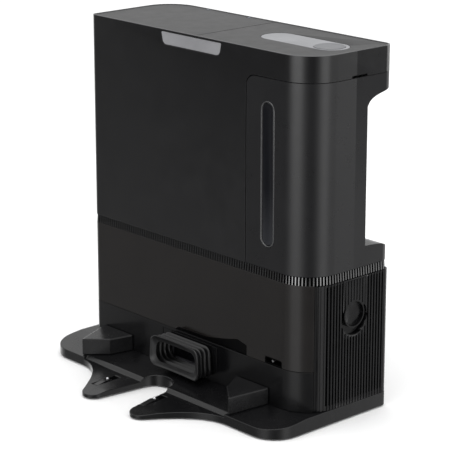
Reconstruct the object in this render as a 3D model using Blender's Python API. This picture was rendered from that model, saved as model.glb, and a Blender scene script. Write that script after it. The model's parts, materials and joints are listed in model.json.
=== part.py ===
"""Self-emptying, water-refilling base station for a robot vacuum, as an assembly of separate parts.

Metres, +Z up, the docking side faces -Y. The origin is on the floor under the middle of the box.
"""

import math

import bmesh
import bpy
from mathutils import Matrix, Vector
from mathutils.geometry import interpolate_bezier

# Driving dimensions
TRAY_WIDTH = 0.448
TRAY_DEPTH = 0.2715
HEIGHT = 0.470
BODY_WIDTH = 0.4135
BODY_DEPTH = 0.144
WALL = 0.0025
GAP = 0.0003
SEAM = 0.0006

# Heights of the horizontal seams
FLOOR_GAP = 0.0015
TRAY_TOP = 0.0200
TRAY_LIP = 0.0140
PRONG_ROOT = 0.0105
PRONG_TIP = 0.0080
PANEL_SEAM = 0.0730
RING_BOTTOM = 0.1850
RING_TOP = 0.1960
BAND_BOTTOM = 0.4370
PLATE_TOP = 0.4694
PLATE_THICK = 0.0018

# Sides of the body and the tray
LEFT = -TRAY_WIDTH / 2
RIGHT = TRAY_WIDTH / 2
BACK = TRAY_DEPTH / 2
FRONT = BACK - BODY_DEPTH
PRONG_END = -TRAY_DEPTH / 2
BODY_LEFT = RIGHT - BODY_WIDTH
LIP_FRONT = FRONT - 0.0560

# Corner radii of the body: front left, front right, back right, back left
CORNER_FL = 0.009
CORNER_FR = 0.046
CORNER_BR = 0.008
UPPER_CORNER_BR = 0.014
CORNER_BL = 0.045

# Places that several parts share
ROBOT_X = -0.006
PORT_X = 0.006
PORT_PANEL_HALF = 0.053
PORT_Z = 0.0470
PORT_STEP = 0.0075
DUCT_HALF = 0.0420
DUCT_WALL = 0.0025
LID_SEAM_X = 0.017
TANK_LEFT = 0.112
TAB_X = 0.011
INLAY_Y = 0.068
INLAY_LEFT = 0.092
INLAY_RIGHT = 0.182
INLAY_RADIUS = 0.023
BUTTON_X = 0.1805
BUTTON_Y = 0.067
BUTTON_RADIUS = 0.0195
KNOB_Y = 0.0738
SLOT_PITCH = 0.00505
SLOT_HALF = 0.00145
MOTOR_X = 0.0900
MOTOR_Y = 0.0850
VALVE_Y = 0.0450
VALVE_Z = 0.2100
HOSE_X = 0.0560
NOZZLE_X = 0.1610
NOZZLE_Z = 0.0778
CORNER_SPLIT = 35.0
COVER_SPLIT = FRONT + CORNER_FL + 0.0005
LID_AXIS_Y = BACK - WALL - 0.0031
LID_AXIS_Z = PLATE_TOP - 0.0010
LID_CORNER = 0.046
LID_EARS = (-0.110, -0.030)
CONTACT_XS = {"left": -0.0665, "right": 0.0285}
CONTACT_Y = -0.0890

MATERIALS = {
    "charcoal": ((0.020, 0.020, 0.022), 0.42, 0.0),
    "charcoal_warm": ((0.024, 0.023, 0.023), 0.46, 0.0),
    "tray_grey": ((0.030, 0.030, 0.032), 0.50, 0.0),
    "ring_black": ((0.016, 0.016, 0.018), 0.35, 0.0),
    "tab_grey": ((0.22, 0.22, 0.23), 0.45, 0.0),
    "inlay_grey": ((0.26, 0.27, 0.28), 0.40, 0.0),
    "rubber": ((0.012, 0.012, 0.013), 0.65, 0.0),
    "gloss_black": ((0.004, 0.004, 0.005), 0.08, 0.0),
    "smoked_clear": ((0.02, 0.03, 0.06), 0.06, 0.0),
    "steel": ((0.60, 0.60, 0.62), 0.25, 1.0),
    "inner_grey": ((0.10, 0.10, 0.11), 0.55, 0.0),
    "filter_white": ((0.75, 0.75, 0.72), 0.90, 0.0),
    "motor_metal": ((0.35, 0.35, 0.37), 0.40, 0.8),
    "board_green": ((0.02, 0.12, 0.05), 0.50, 0.0),
    "hose_clear": ((0.45, 0.48, 0.50), 0.30, 0.0),
}


# ---------------------------------------------------------------- helpers

def clear_scene():
    for obj in list(bpy.data.objects):
        bpy.data.objects.remove(obj, do_unlink=True)


def material(slot):
    found = bpy.data.materials.get(slot)
    if found:
        return found
    colour, roughness, metallic = MATERIALS[slot]
    made = bpy.data.materials.new(slot)
    made.use_nodes = True
    shader = made.node_tree.nodes["Principled BSDF"]
    shader.inputs["Base Color"].default_value = (*colour, 1.0)
    shader.inputs["Roughness"].default_value = roughness
    shader.inputs["Metallic"].default_value = metallic
    return made


def add_object(name, bm, slot, helper=False, smooth=True):
    bmesh.ops.recalc_face_normals(bm, faces=bm.faces)
    mesh = bpy.data.meshes.new(name)
    bm.to_mesh(mesh)
    bm.free()
    obj = bpy.data.objects.new(name, mesh)
    bpy.context.scene.collection.objects.link(obj)
    if helper:
        obj.hide_render = True
        obj.display_type = "WIRE"
    else:
        mesh.materials.append(material(slot))
        if smooth:
            mesh.shade_smooth()
            mesh.set_sharp_from_angle(angle=math.radians(35))
    return obj


def boolean(obj, other, operation="DIFFERENCE"):
    modifier = obj.modifiers.new(f"{operation.lower()}_{other.name}", "BOOLEAN")
    modifier.operation = operation
    modifier.solver = "EXACT"
    modifier.object = other


def set_origin(obj, point):
    """Moves the object's origin to a point on its joint axis without moving its mesh in space."""
    obj.data.transform(Matrix.Translation(-Vector(point)))
    obj.location = Vector(point)


def prism(name, outline, low, high, slot=None, axis="Z", helper=False, smooth=True):
    """Extrudes a closed outline. For axis X the outline holds (y, z), for Y (x, z), for Z (x, y)."""
    place = {
        "X": lambda a, b, c: (c, a, b),
        "Y": lambda a, b, c: (a, c, b),
        "Z": lambda a, b, c: (a, b, c),
    }[axis]
    bm = bmesh.new()
    bottom = [bm.verts.new(place(a, b, low)) for a, b in outline]
    top = [bm.verts.new(place(a, b, high)) for a, b in outline]
    bm.faces.new(bottom)
    bm.faces.new(top)
    count = len(outline)
    for i in range(count):
        j = (i + 1) % count
        bm.faces.new((bottom[i], bottom[j], top[j], top[i]))
    return add_object(name, bm, slot, helper, smooth)


def box(name, low, high, slot=None, helper=False):
    outline = [(low[0], low[1]), (high[0], low[1]), (high[0], high[1]), (low[0], high[1])]
    return prism(name, outline, low[2], high[2], slot, "Z", helper)


def boxes(name, spans, slot=None, helper=True):
    """Several boxes that don't touch, in one helper mesh."""
    bm = bmesh.new()
    for low, high in spans:
        made = bmesh.ops.create_cube(bm, size=1.0)["verts"]
        size = Vector(high) - Vector(low)
        middle = (Vector(high) + Vector(low)) / 2
        bmesh.ops.scale(bm, vec=size, verts=made)
        bmesh.ops.translate(bm, vec=middle, verts=made)
    return add_object(name, bm, slot, helper)


def lathe(name, profile, centre, axis="Z", slot=None, helper=False, steps=32):
    """Turns a profile of (radius, height) about an axis through centre. Radius 0 closes an end."""
    turn = {"Z": Matrix.Identity(3), "X": Matrix.Rotation(math.pi / 2, 3, "Y"),
            "Y": Matrix.Rotation(-math.pi / 2, 3, "X")}[axis]
    bm = bmesh.new()
    rings = []
    for radius, height in profile:
        if radius == 0:
            point = turn @ Vector((0, 0, height)) + Vector(centre)
            rings.append([bm.verts.new(point)])
            continue
        ring = []
        for i in range(steps):
            angle = 2 * math.pi * i / steps
            spot = Vector((radius * math.cos(angle), radius * math.sin(angle), height))
            ring.append(bm.verts.new(turn @ spot + Vector(centre)))
        rings.append(ring)
    closed = profile[0][0] != 0
    pairs = list(zip(rings, rings[1:]))
    if closed:
        pairs.append((rings[-1], rings[0]))
    for lower, upper in pairs:
        for i in range(steps):
            j = (i + 1) % steps
            if len(lower) == 1:
                bm.faces.new((lower[0], upper[i], upper[j]))
            elif len(upper) == 1:
                bm.faces.new((lower[i], upper[0], lower[j]))
            else:
                bm.faces.new((lower[i], lower[j], upper[j], upper[i]))
    return add_object(name, bm, slot, helper)


def tube(name, route, radius, slot, resolution=2):
    """A solid round tube along a smooth curve through the route's points."""
    points = [Vector(p) for p in route]
    bends = []
    for i, point in enumerate(points):
        before = points[max(i - 1, 0)]
        after = points[min(i + 1, len(points) - 1)]
        bends.append((after - before) / 6)
    smooth = []
    for i in range(len(points) - 1):
        part = interpolate_bezier(
            points[i], points[i] + bends[i], points[i + 1] - bends[i + 1], points[i + 1], 7
        )
        smooth += part if not smooth else part[1:]
    return poly_curve(name, smooth, radius, slot, resolution)


def poly_curve(name, points, radius, slot, resolution):
    data = bpy.data.curves.new(name, "CURVE")
    data.dimensions = "3D"
    data.bevel_depth = radius
    data.bevel_resolution = resolution
    data.use_fill_caps = True
    spline = data.splines.new("POLY")
    spline.points.add(len(points) - 1)
    for slot_point, point in zip(spline.points, points):
        slot_point.co = (*point, 1.0)
    data.materials.append(material(slot))
    obj = bpy.data.objects.new(name, data)
    bpy.context.scene.collection.objects.link(obj)
    return obj


def spring(name, centre, radius, wire, length, turns, axis="Z"):
    turn = {"Z": Matrix.Identity(3), "X": Matrix.Rotation(math.pi / 2, 3, "Y"),
            "Y": Matrix.Rotation(-math.pi / 2, 3, "X")}[axis]
    steps = 12 * turns
    points = []
    for i in range(steps + 1):
        angle = 2 * math.pi * i / 12
        height = -length / 2 + length * i / steps
        spot = Vector((radius * math.cos(angle), radius * math.sin(angle), height))
        points.append(turn @ spot + Vector(centre))
    return poly_curve(name, points, wire / 2, "steel", 1)


def fillet_path(points, radii, steps=10):
    """An open path through points whose inner corners are rounded with the given radii."""
    path = [Vector(points[0])]
    for i in range(1, len(points) - 1):
        corner = Vector(points[i])
        to_before = (Vector(points[i - 1]) - corner).normalized()
        to_after = (Vector(points[i + 1]) - corner).normalized()
        radius = radii[i - 1]
        if radius <= 0:
            path.append(corner)
            continue
        half = to_before.angle(to_after) / 2
        reach = radius / math.tan(half)
        centre = corner + (to_before + to_after).normalized() * (radius / math.sin(half))
        start = corner + to_before * reach - centre
        end = corner + to_after * reach - centre
        sweep = start.angle_signed(end)
        for k in range(steps + 1):
            spun = start.copy()
            spun.rotate(Matrix.Rotation(-sweep * k / steps, 2))
            path.append(centre + spun)
    path.append(Vector(points[-1]))
    return path


def rounded_loop(points, radii, steps=8):
    """A closed outline with every corner rounded."""
    middle = (Vector(points[0]) + Vector(points[-1])) / 2
    path = fillet_path([middle, *points, middle], radii, steps)
    return path[:-1]


def rounded_box_outline(left, right, low, high, radius, steps=6):
    corners = [(left, low), (right, low), (right, high), (left, high)]
    return rounded_loop(corners, [radius] * 4, steps)


def stadium(left, right, middle, radius, steps=14):
    """A slot-shaped outline, long in the first direction."""
    outline = []
    for i in range(steps + 1):
        angle = -math.pi / 2 + math.pi * i / steps
        outline.append((right + radius * math.cos(angle), middle + radius * math.sin(angle)))
    for i in range(steps + 1):
        angle = math.pi / 2 + math.pi * i / steps
        outline.append((left + radius * math.cos(angle), middle + radius * math.sin(angle)))
    return outline


def circle(x, y, radius, steps=32):
    angles = [2 * math.pi * i / steps for i in range(steps)]
    return [(x + radius * math.cos(a), y + radius * math.sin(a)) for a in angles]


def body_corners(inset):
    return [
        (BODY_LEFT + inset, FRONT + inset),
        (RIGHT - inset, FRONT + inset),
        (RIGHT - inset, BACK - inset),
        (BODY_LEFT + inset, BACK - inset),
    ]


def body_outline(inset, steps=10):
    radii = [max(r - inset, 0.001) for r in (CORNER_FL, CORNER_FR, CORNER_BR, CORNER_BL)]
    return rounded_loop(body_corners(inset), radii, steps)


def wall_outline(start_y, end_y, corners, inset, back_right=CORNER_BR):
    """A wall from the left side at start_y, round the named corners, to the right side at end_y."""
    names = ("fl", "fr", "br", "bl")
    radii = dict(zip(names, (CORNER_FL, CORNER_FR, back_right, CORNER_BL)))
    strips = []
    for depth in (inset, inset + WALL):
        spots = dict(zip(names, body_corners(depth)))
        points = [(BODY_LEFT + depth, start_y), *[spots[c] for c in corners], (RIGHT - depth, end_y)]
        strips.append(fillet_path(points, [radii[c] - depth for c in corners]))
    return strips[0] + strips[1][::-1]


def tray_top(y):
    """Height of the docking floor, which falls from the body to the tray's front lip."""
    if y >= FRONT:
        return TRAY_TOP
    return TRAY_TOP + (TRAY_LIP - TRAY_TOP) * (FRONT - y) / (FRONT - LIP_FRONT)


# ---------------------------------------------------------------- tray

def prong_half():
    """Outline of one half of the tray's front, from the middle of the bay to the lip, as (across, y)."""
    tip = Vector((0.0480, PRONG_END + 0.0160))
    arch = interpolate_bezier(
        Vector((0, FRONT - 0.0275)), Vector((0.014, FRONT - 0.0275)),
        Vector((0.0235, FRONT - 0.034)), Vector((0.0245, FRONT - 0.050)), 9,
    )
    outline = [tuple(p) for p in arch]
    for i in range(14):
        angle = math.radians(174 + 12 * i)
        outline.append((tip.x + 0.016 * math.cos(angle), tip.y + 0.016 * math.sin(angle)))
    side = interpolate_bezier(
        Vector(outline[-1]), Vector(outline[-1]) + Vector((0.0165, 0.0255)),
        Vector((0.106, LIP_FRONT)), Vector((0.142, LIP_FRONT)), 12,
    )
    return outline + [tuple(p) for p in side[1:]]


def tray_outline():
    half = prong_half()
    right = [(ROBOT_X + across, y) for across, y in half]
    left = [(ROBOT_X - across, y) for across, y in half[1:]][::-1]
    outer = fillet_path(
        [right[-1], (RIGHT, LIP_FRONT), (RIGHT, BACK), (LEFT, BACK), (LEFT, LIP_FRONT), left[0]],
        [0.038, 0.008, 0.008, 0.038], 8,
    )
    return left + right[:-1] + [tuple(p) for p in outer[:-1]]


def build_tray():
    tray = prism("base_tray", tray_outline(), FLOOR_GAP, TRAY_TOP, "tray_grey")
    slope = [(FRONT, TRAY_TOP), (LIP_FRONT - 0.1, tray_top(LIP_FRONT - 0.1)),
             (LIP_FRONT - 0.1, 0.05), (FRONT, 0.05)]
    boolean(tray, prism("cut_floor_slope", slope, LEFT - 0.01, RIGHT + 0.01, axis="X", helper=True))
    ramp_top = FRONT - 0.0480
    ramp_foot = FRONT - 0.0530
    ramp = [(ramp_top, tray_top(ramp_top)), (ramp_foot, PRONG_ROOT),
            (PRONG_END - 0.005, PRONG_TIP), (PRONG_END - 0.005, 0.04), (ramp_top, 0.04)]
    reach = 0.140
    boolean(tray, prism("cut_prong_ramp", ramp, ROBOT_X - reach, ROBOT_X + reach, axis="X", helper=True))
    hollow = rounded_box_outline(BODY_LEFT + 0.006, RIGHT - 0.006, FRONT + 0.006, BACK - 0.006, 0.01, 3)
    boolean(tray, prism("cut_tray_hollow", hollow, 0, 0.0165, helper=True))
    pockets = []
    for x in CONTACT_XS.values():
        pockets.append(((x - 0.0050, CONTACT_Y - 0.021, 0.0042), (x + 0.0050, CONTACT_Y + 0.018, 0.03)))
    boolean(tray, boxes("cut_contact_pockets", pockets))
    cover = rounded_box_outline(BODY_LEFT + 0.0065, RIGHT - 0.0065, FRONT + 0.0065, BACK - 0.0065, 0.0095, 3)
    plate = prism("bottom_cover", cover, FLOOR_GAP, 0.0040, "inner_grey")
    places = {"front_left": (-0.160, 0.010), "front_right": (0.190, 0.010),
              "rear_left": (-0.160, 0.115), "rear_right": (0.190, 0.115)}
    for name, (x, y) in places.items():
        boolean(plate, lathe(f"cut_screw_{name}", [(0, 0), (0.0021, 0), (0.0021, 0.01), (0, 0.01)],
                             (x, y, 0), helper=True, steps=12))
    for name, (x, y) in places.items():
        profile = [(0, 0.0004), (0.0036, 0.0004), (0.0036, FLOOR_GAP - GAP), (0.0018, FLOOR_GAP - GAP),
                   (0.0018, 0.0150), (0, 0.0150)]
        lathe(f"cover_screw_{name}", profile, (x, y, 0), slot="steel", steps=12)
    feet = {"front_left": (-0.190, LIP_FRONT + 0.024), "front_right": (0.178, LIP_FRONT + 0.012),
            "rear_left": (-0.208, BACK - 0.014), "rear_right": (0.208, BACK - 0.040)}
    for name, (x, y) in feet.items():
        profile = [(0, 0), (0.0065, 0), (0.0070, 0.0004), (0.0070, FLOOR_GAP - GAP), (0, FLOOR_GAP - GAP)]
        lathe(f"rubber_foot_{name}", profile, (x, y, 0), slot="rubber", steps=20)


def build_guide_blocks():
    """Two blocks whose slanted front faces centre the robot as it backs in."""
    corners = [(0.1465, FRONT - 0.0540), (0.1165, FRONT - 0.0300),
               (0.1030, FRONT - GAP), (0.1630, FRONT - GAP)]
    tops = (0.0375, 0.0390, 0.0420, 0.0420)
    for side, sign in (("left", -1), ("right", 1)):
        bm = bmesh.new()
        low = [bm.verts.new((ROBOT_X + sign * u, y, tray_top(y) + GAP)) for u, y in corners]
        high = [bm.verts.new((ROBOT_X + sign * u, y, z)) for (u, y), z in zip(corners, tops)]
        bm.faces.new(low)
        bm.faces.new(high)
        for i in range(4):
            j = (i + 1) % 4
            bm.faces.new((low[i], low[j], high[j], high[i]))
        block = add_object(f"guide_block_{side}", bm, "tray_grey", smooth=False)
        bevel = block.modifiers.new("soft_edges", "BEVEL")
        bevel.width = 0.0015
        bevel.segments = 2
        bevel.limit_method = "ANGLE"


def build_contacts():
    """Sprung charging levers, each with a round contact on its raised end."""
    for side, x in CONTACT_XS.items():
        lever = [(CONTACT_Y - 0.0195, 0.0048), (CONTACT_Y + 0.0060, 0.0075),
                 (CONTACT_Y + 0.0060, 0.0100), (CONTACT_Y - 0.0020, 0.0112),
                 (CONTACT_Y - 0.0190, 0.0082), (CONTACT_Y - 0.0205, 0.0065)]
        obj = prism(f"contact_lever_{side}", lever, x - 0.0042, x + 0.0042, "tray_grey", axis="X")
        set_origin(obj, (x, CONTACT_Y - 0.0180, 0.0065))
        cup = [(0, 0.0095), (0.0026, 0.0095), (0.0026, 0.02), (0, 0.02)]
        boolean(obj, lathe(f"cut_contact_{side}", cup, (x, CONTACT_Y + 0.0015, 0), helper=True, steps=16))
        bead = [(0, 0.0098), (0.0021, 0.0098), (0.0023, 0.0112), (0.0021, 0.0122), (0.0013, 0.0131), (0, 0.0134)]
        lathe(f"charging_contact_{side}", bead, (x, CONTACT_Y + 0.0015, 0), slot="steel", steps=16)


# ---------------------------------------------------------------- lower body

def front_wall_outline(inset, thickness):
    """The lower front wall: from the left side round the left corner to part way round the right one."""
    centre = Vector((RIGHT - CORNER_FR, FRONT + CORNER_FR))
    strips = []
    for depth in (inset, inset + thickness):
        start = (BODY_LEFT + depth, COVER_SPLIT)
        path = fillet_path([start, (BODY_LEFT + depth, FRONT + depth), (centre.x, FRONT + depth)],
                           [CORNER_FL - depth], 6)
        for i in range(1, 9):
            angle = math.radians(-90 + (90 - CORNER_SPLIT) * i / 8)
            path.append(centre + (CORNER_FR - depth) * Vector((math.cos(angle), math.sin(angle))))
        strips.append(path)
    return strips[0] + strips[1][::-1]


def build_front_panels():
    outline = front_wall_outline(0.0002, WALL)
    low = prism("base_front_panel", outline, TRAY_TOP + GAP, PANEL_SEAM - SEAM / 2, "tray_grey")
    opening = ((PORT_X - PORT_PANEL_HALF, FRONT - 0.01, 0.01),
               (PORT_X + PORT_PANEL_HALF, FRONT + 0.01, PANEL_SEAM - 0.0040))
    boolean(low, boxes("cut_port_opening", [opening]))
    outline_port = [(PORT_X - PORT_PANEL_HALF + SEAM, TRAY_TOP + GAP),
                    (PORT_X + PORT_PANEL_HALF - SEAM, TRAY_TOP + GAP),
                    (PORT_X + PORT_PANEL_HALF - SEAM, PANEL_SEAM - 0.0046),
                    (PORT_X - PORT_PANEL_HALF + SEAM, PANEL_SEAM - 0.0046)]
    port = prism("port_panel", outline_port, FRONT + 0.0004, FRONT + 0.0029, "tray_grey", axis="Y")
    hole = port_outline(0.0385, 0.0155)
    boolean(port, prism("cut_port_hole", hole, FRONT - 0.01, FRONT + 0.01, axis="Y", helper=True))

    mid = prism("mid_front_panel", outline, PANEL_SEAM + SEAM / 2, RING_BOTTOM - GAP, "charcoal_warm")
    crest = [(0.1150, 0.0865), (0.0980, 0.0905), (0.0800, 0.0860), (0.0420, 0.0785), (-0.0160, 0.0775)]
    window = [(-0.0230, PANEL_SEAM - 0.001), (0.1150, PANEL_SEAM - 0.001), *crest]
    boolean(mid, prism("cut_sensor_window", window, FRONT - 0.01, FRONT + 0.01, axis="Y", helper=True))
    pocket = rounded_box_outline(0.1485, 0.1790, PANEL_SEAM - 0.004, 0.0825, 0.003, 4)
    boolean(mid, prism("cut_nozzle_pocket", pocket, FRONT - 0.01, FRONT + 0.03, axis="Y", helper=True))

    pane = [(-0.0205, PANEL_SEAM + 0.0002), (0.1150, PANEL_SEAM + 0.0002), *crest]
    prism("sensor_window", shrink(pane, 0.0004), FRONT + 0.0012, FRONT + 0.0040, "gloss_black", axis="Y")


def shrink(outline, amount):
    """Moves each corner of a convex-ish outline inwards by amount."""
    points = [Vector(p) for p in outline]
    area = sum(a.x * b.y - b.x * a.y for a, b in zip(points, points[1:] + points[:1]))
    turn = 1 if area > 0 else -1
    moved = []
    for i, point in enumerate(points):
        before = (point - points[i - 1]).normalized()
        after = (points[(i + 1) % len(points)] - point).normalized()
        normal_a = Vector((-before.y, before.x)) * turn
        normal_b = Vector((-after.y, after.x)) * turn
        bisector = (normal_a + normal_b).normalized()
        moved.append(tuple(point + bisector * amount / max(bisector.dot(normal_a), 0.3)))
    return moved


def port_outline(half_width, half_height):
    """The evacuation port's mouth: a rounded trapezoid, wider at its foot."""
    low, high = PORT_Z - half_height, PORT_Z + half_height
    corners = [(PORT_X - half_width, low), (PORT_X + half_width, low),
               (PORT_X + half_width - 0.003, high), (PORT_X - half_width + 0.003, high)]
    return rounded_loop(corners, [0.0105] * 4, 5)


def loft(name, sections, slot):
    """A tube wall lofted through closed sections of equal point count; the last joins the first."""
    bm = bmesh.new()
    rings = [[bm.verts.new(p) for p in section] for section in sections]
    for lower, upper in zip(rings, rings[1:] + rings[:1]):
        count = len(lower)
        for i in range(count):
            j = (i + 1) % count
            bm.faces.new((lower[i], lower[j], upper[j], upper[i]))
    return add_object(name, bm, slot)


def build_port():
    """Rubber bellows and lip that seal against the robot's bin outlet."""
    back = FRONT - GAP
    folds = 3
    outer = []
    for i in range(2 * folds + 1):
        swell = 0.0050 if i % 2 else 0.0
        outer.append((back - PORT_STEP * i / 2, swell))
    end = outer[-1][0]
    sections = []
    for y, swell in outer:
        sections.append([(x, y, z) for x, z in port_outline(0.0425 + swell, 0.0160 + swell)])
    for y, swell in outer[::-1]:
        sections.append([(x, y, z) for x, z in port_outline(0.0405 + swell, 0.0140 + swell)])
    loft("port_bellows", sections, "rubber")
    lip = []
    for half_width, half_height, depth in ((0.0405, 0.0145, end - GAP), (0.0480, 0.0207, end - GAP),
                                           (0.0490, 0.0212, end - 0.0012), (0.0480, 0.0204, end - 0.0024),
                                           (0.0400, 0.0140, end - 0.0014)):
        ring = []
        for x, z in port_outline(half_width, half_height):
            bow = 0.0030 * ((x - PORT_X) / 0.049) ** 2
            ring.append((x, depth - (bow if depth < end - 0.001 else 0.0), z))
        lip.append(ring)
    loft("port_lip", lip, "rubber")


def build_intake():
    """Duct from the port to the bin, with a flap that closes it."""
    left, right = PORT_X - DUCT_HALF, PORT_X + DUCT_HALF
    start = FRONT + 0.0032
    outer = [(start, 0.0290), (0.0520, 0.0290), (0.0520, 0.1853), (0.0180, 0.1853),
             (0.0180, 0.0670), (start, 0.0670)]
    inner = [(start - 0.01, 0.0315), (0.0495, 0.0315), (0.0495, 0.20), (0.0205, 0.20),
             (0.0205, 0.0645), (start - 0.01, 0.0645)]
    duct = prism("intake_duct", outer, left, right, "inner_grey", axis="X")
    boolean(duct, prism("cut_duct", inner, left + DUCT_WALL, right - DUCT_WALL, axis="X", helper=True))
    pivot = (PORT_X, start + 0.0045, 0.0620)
    shape = [(start + 0.0035, 0.0325), (start + 0.0055, 0.0325), (start + 0.0055, 0.0610),
             (start + 0.0063, 0.0620), (start + 0.0055, 0.0635), (start + 0.0035, 0.0635),
             (start + 0.0027, 0.0620), (start + 0.0035, 0.0610)]
    flap = prism("port_flap", shape, left + 0.0035, right - 0.0035, "gloss_black", axis="X")
    set_origin(flap, pivot)


def build_lower_shell():
    """Left, back and the rear of the right side of the lower body."""
    outline = wall_outline(COVER_SPLIT + SEAM, BACK - CORNER_BR - 0.0005, ("bl", "br"), 0.0002)
    shell = prism("lower_rear_shell", outline, TRAY_TOP + GAP, RING_BOTTOM - GAP, "charcoal")
    inlet = ((-0.1325, BACK - 0.02, 0.0385), (-0.1075, BACK + 0.01, 0.0535))
    boolean(shell, boxes("cut_mains_inlet", [inlet]))
    outline = rounded_box_outline(-0.1320, -0.1080, 0.0390, 0.0530, 0.0040, 4)
    socket = prism("mains_inlet", outline, BACK - 0.0200, BACK - 0.0004, "gloss_black", axis="Y")
    mouth = rounded_box_outline(-0.1300, -0.1100, 0.0410, 0.0510, 0.0030, 4)
    boolean(socket, prism("cut_inlet_mouth", mouth, BACK - 0.0160, BACK + 0.01, axis="Y", helper=True))


def door_outline(inset, thickness):
    centre = Vector((RIGHT - CORNER_FR, FRONT + CORNER_FR))
    strips = []
    for depth in (inset, inset + thickness):
        path = []
        for i in range(6):
            angle = -math.radians(CORNER_SPLIT) * (1 - i / 5) + (SEAM / CORNER_FR if i == 0 else 0)
            path.append(centre + (CORNER_FR - depth) * Vector((math.cos(angle), math.sin(angle))))
        path.append(Vector((RIGHT - depth, BACK - 0.0091)))
        strips.append(path)
    return strips[0] + strips[1][::-1]


def build_side_door():
    """Slotted door over the exhaust filter, with its sliding latch."""
    low, high = TRAY_TOP + 0.0006, RING_BOTTOM - 0.0010
    door = prism("side_grille", door_outline(0.0002, 0.0030), low, high, "charcoal")
    boss = lathe("add_dish", [(0, 0), (0.0255, 0), (0.0255, 0.0085), (0, 0.0085)],
                 (RIGHT - 0.0092, KNOB_Y, 0.1330), axis="X", helper=True, steps=40)
    boolean(door, boss, "UNION")
    dish = lathe("cut_dish", [(0, 0), (0.0225, 0), (0.0225, 0.02), (0, 0.02)],
                 (RIGHT - 0.0075, KNOB_Y, 0.1330), axis="X", helper=True, steps=40)
    boolean(door, dish)
    strip = ((RIGHT - 0.0140, KNOB_Y - 0.0188, 0.1455), (RIGHT + 0.01, KNOB_Y + 0.0188, 0.1822))
    boolean(door, boxes("cut_latch_strip", [strip]))
    slots = []
    far, near = RIGHT - 0.030, RIGHT + 0.005
    for i in range(20):
        y = 0.0270 + SLOT_PITCH * i
        top = 0.1075 if abs(y - KNOB_Y) < 0.0200 else 0.1815
        slots.append(((far, y - SLOT_HALF, 0.0265), (near, y + SLOT_HALF, top)))
    boolean(door, boxes("cut_door_slots", slots))
    set_origin(door, (RIGHT - 0.0002, KNOB_Y, TRAY_TOP + 0.0006))

    plate = ((KNOB_Y - 0.0183, 0.1460), (KNOB_Y + 0.0183, 0.1460),
             (KNOB_Y + 0.0183, 0.1817), (KNOB_Y - 0.0183, 0.1817))
    latch = prism("filter_latch", plate, RIGHT - 0.0030, RIGHT - 0.0004, "charcoal", axis="X")
    cup = [(0, 0), (0.0178, 0), (0.0178, 0.0066), (0.0160, 0.0066), (0.0155, 0.0016), (0, 0.0013)]
    knob = lathe("add_knob", cup, (RIGHT - 0.0070, KNOB_Y, 0.1375), axis="X", helper=True, steps=36)
    boolean(latch, knob, "UNION")


# ---------------------------------------------------------------- upper body

def build_ring():
    """Band between the lower and the upper body. It leans out towards its foot."""
    bm = bmesh.new()
    outer_low = body_outline(0.0002)
    outer_high = body_outline(0.0022)
    inner = body_outline(0.0045)
    rings = []
    for outline, z in ((outer_low, RING_BOTTOM), (outer_high, RING_TOP - GAP),
                       (inner, RING_TOP - GAP), (inner, RING_BOTTOM)):
        rings.append([bm.verts.new((p[0], p[1], z)) for p in outline])
    for lower, upper in zip(rings, rings[1:] + rings[:1]):
        count = len(lower)
        for i in range(count):
            j = (i + 1) % count
            bm.faces.new((lower[i], lower[j], upper[j], upper[i]))
    add_object("ribbed_ring", bm, "ring_black")


def build_inner_frame():
    """Deck inside the ring, with the wall between the bin and the tank."""
    outline = [(BODY_LEFT + 0.0055, 0.1858), (RIGHT - 0.0055, 0.1858), (RIGHT - 0.0055, 0.1890),
               (TANK_LEFT - 0.0030, 0.1890), (TANK_LEFT - 0.0030, 0.4340), (TANK_LEFT - 0.0055, 0.4340),
               (TANK_LEFT - 0.0055, 0.1890), (BODY_LEFT + 0.0055, 0.1890)]
    frame = prism("inner_frame", outline, FRONT + 0.0055, BACK - 0.0055, "inner_grey", axis="Y")
    keep = prism("keep_frame", body_outline(0.0052), 0.18, 0.45, helper=True)
    boolean(frame, keep, "INTERSECT")
    ports = [((PORT_X - DUCT_HALF + DUCT_WALL, 0.0205, 0.18), (PORT_X + DUCT_HALF - DUCT_WALL, 0.0495, 0.20)),
             ((HOSE_X - 0.0050, 0.0175, 0.18), (HOSE_X + 0.0050, 0.0255, 0.20))]
    boolean(frame, boxes("cut_frame_ports", ports))
    hole = lathe("cut_motor_eye", [(0, 0), (0.0190, 0), (0.0190, 0.03), (0, 0.03)],
                 (MOTOR_X - 0.0055, MOTOR_Y, 0.175), helper=True)
    boolean(frame, hole)
    spout = lathe("cut_frame_spout", [(0, -0.02), (0.0065, -0.02), (0.0065, 0.02), (0, 0.02)],
                  (TANK_LEFT - 0.0040, VALVE_Y, VALVE_Z), axis="X", helper=True, steps=20)
    boolean(frame, spout)


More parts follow.
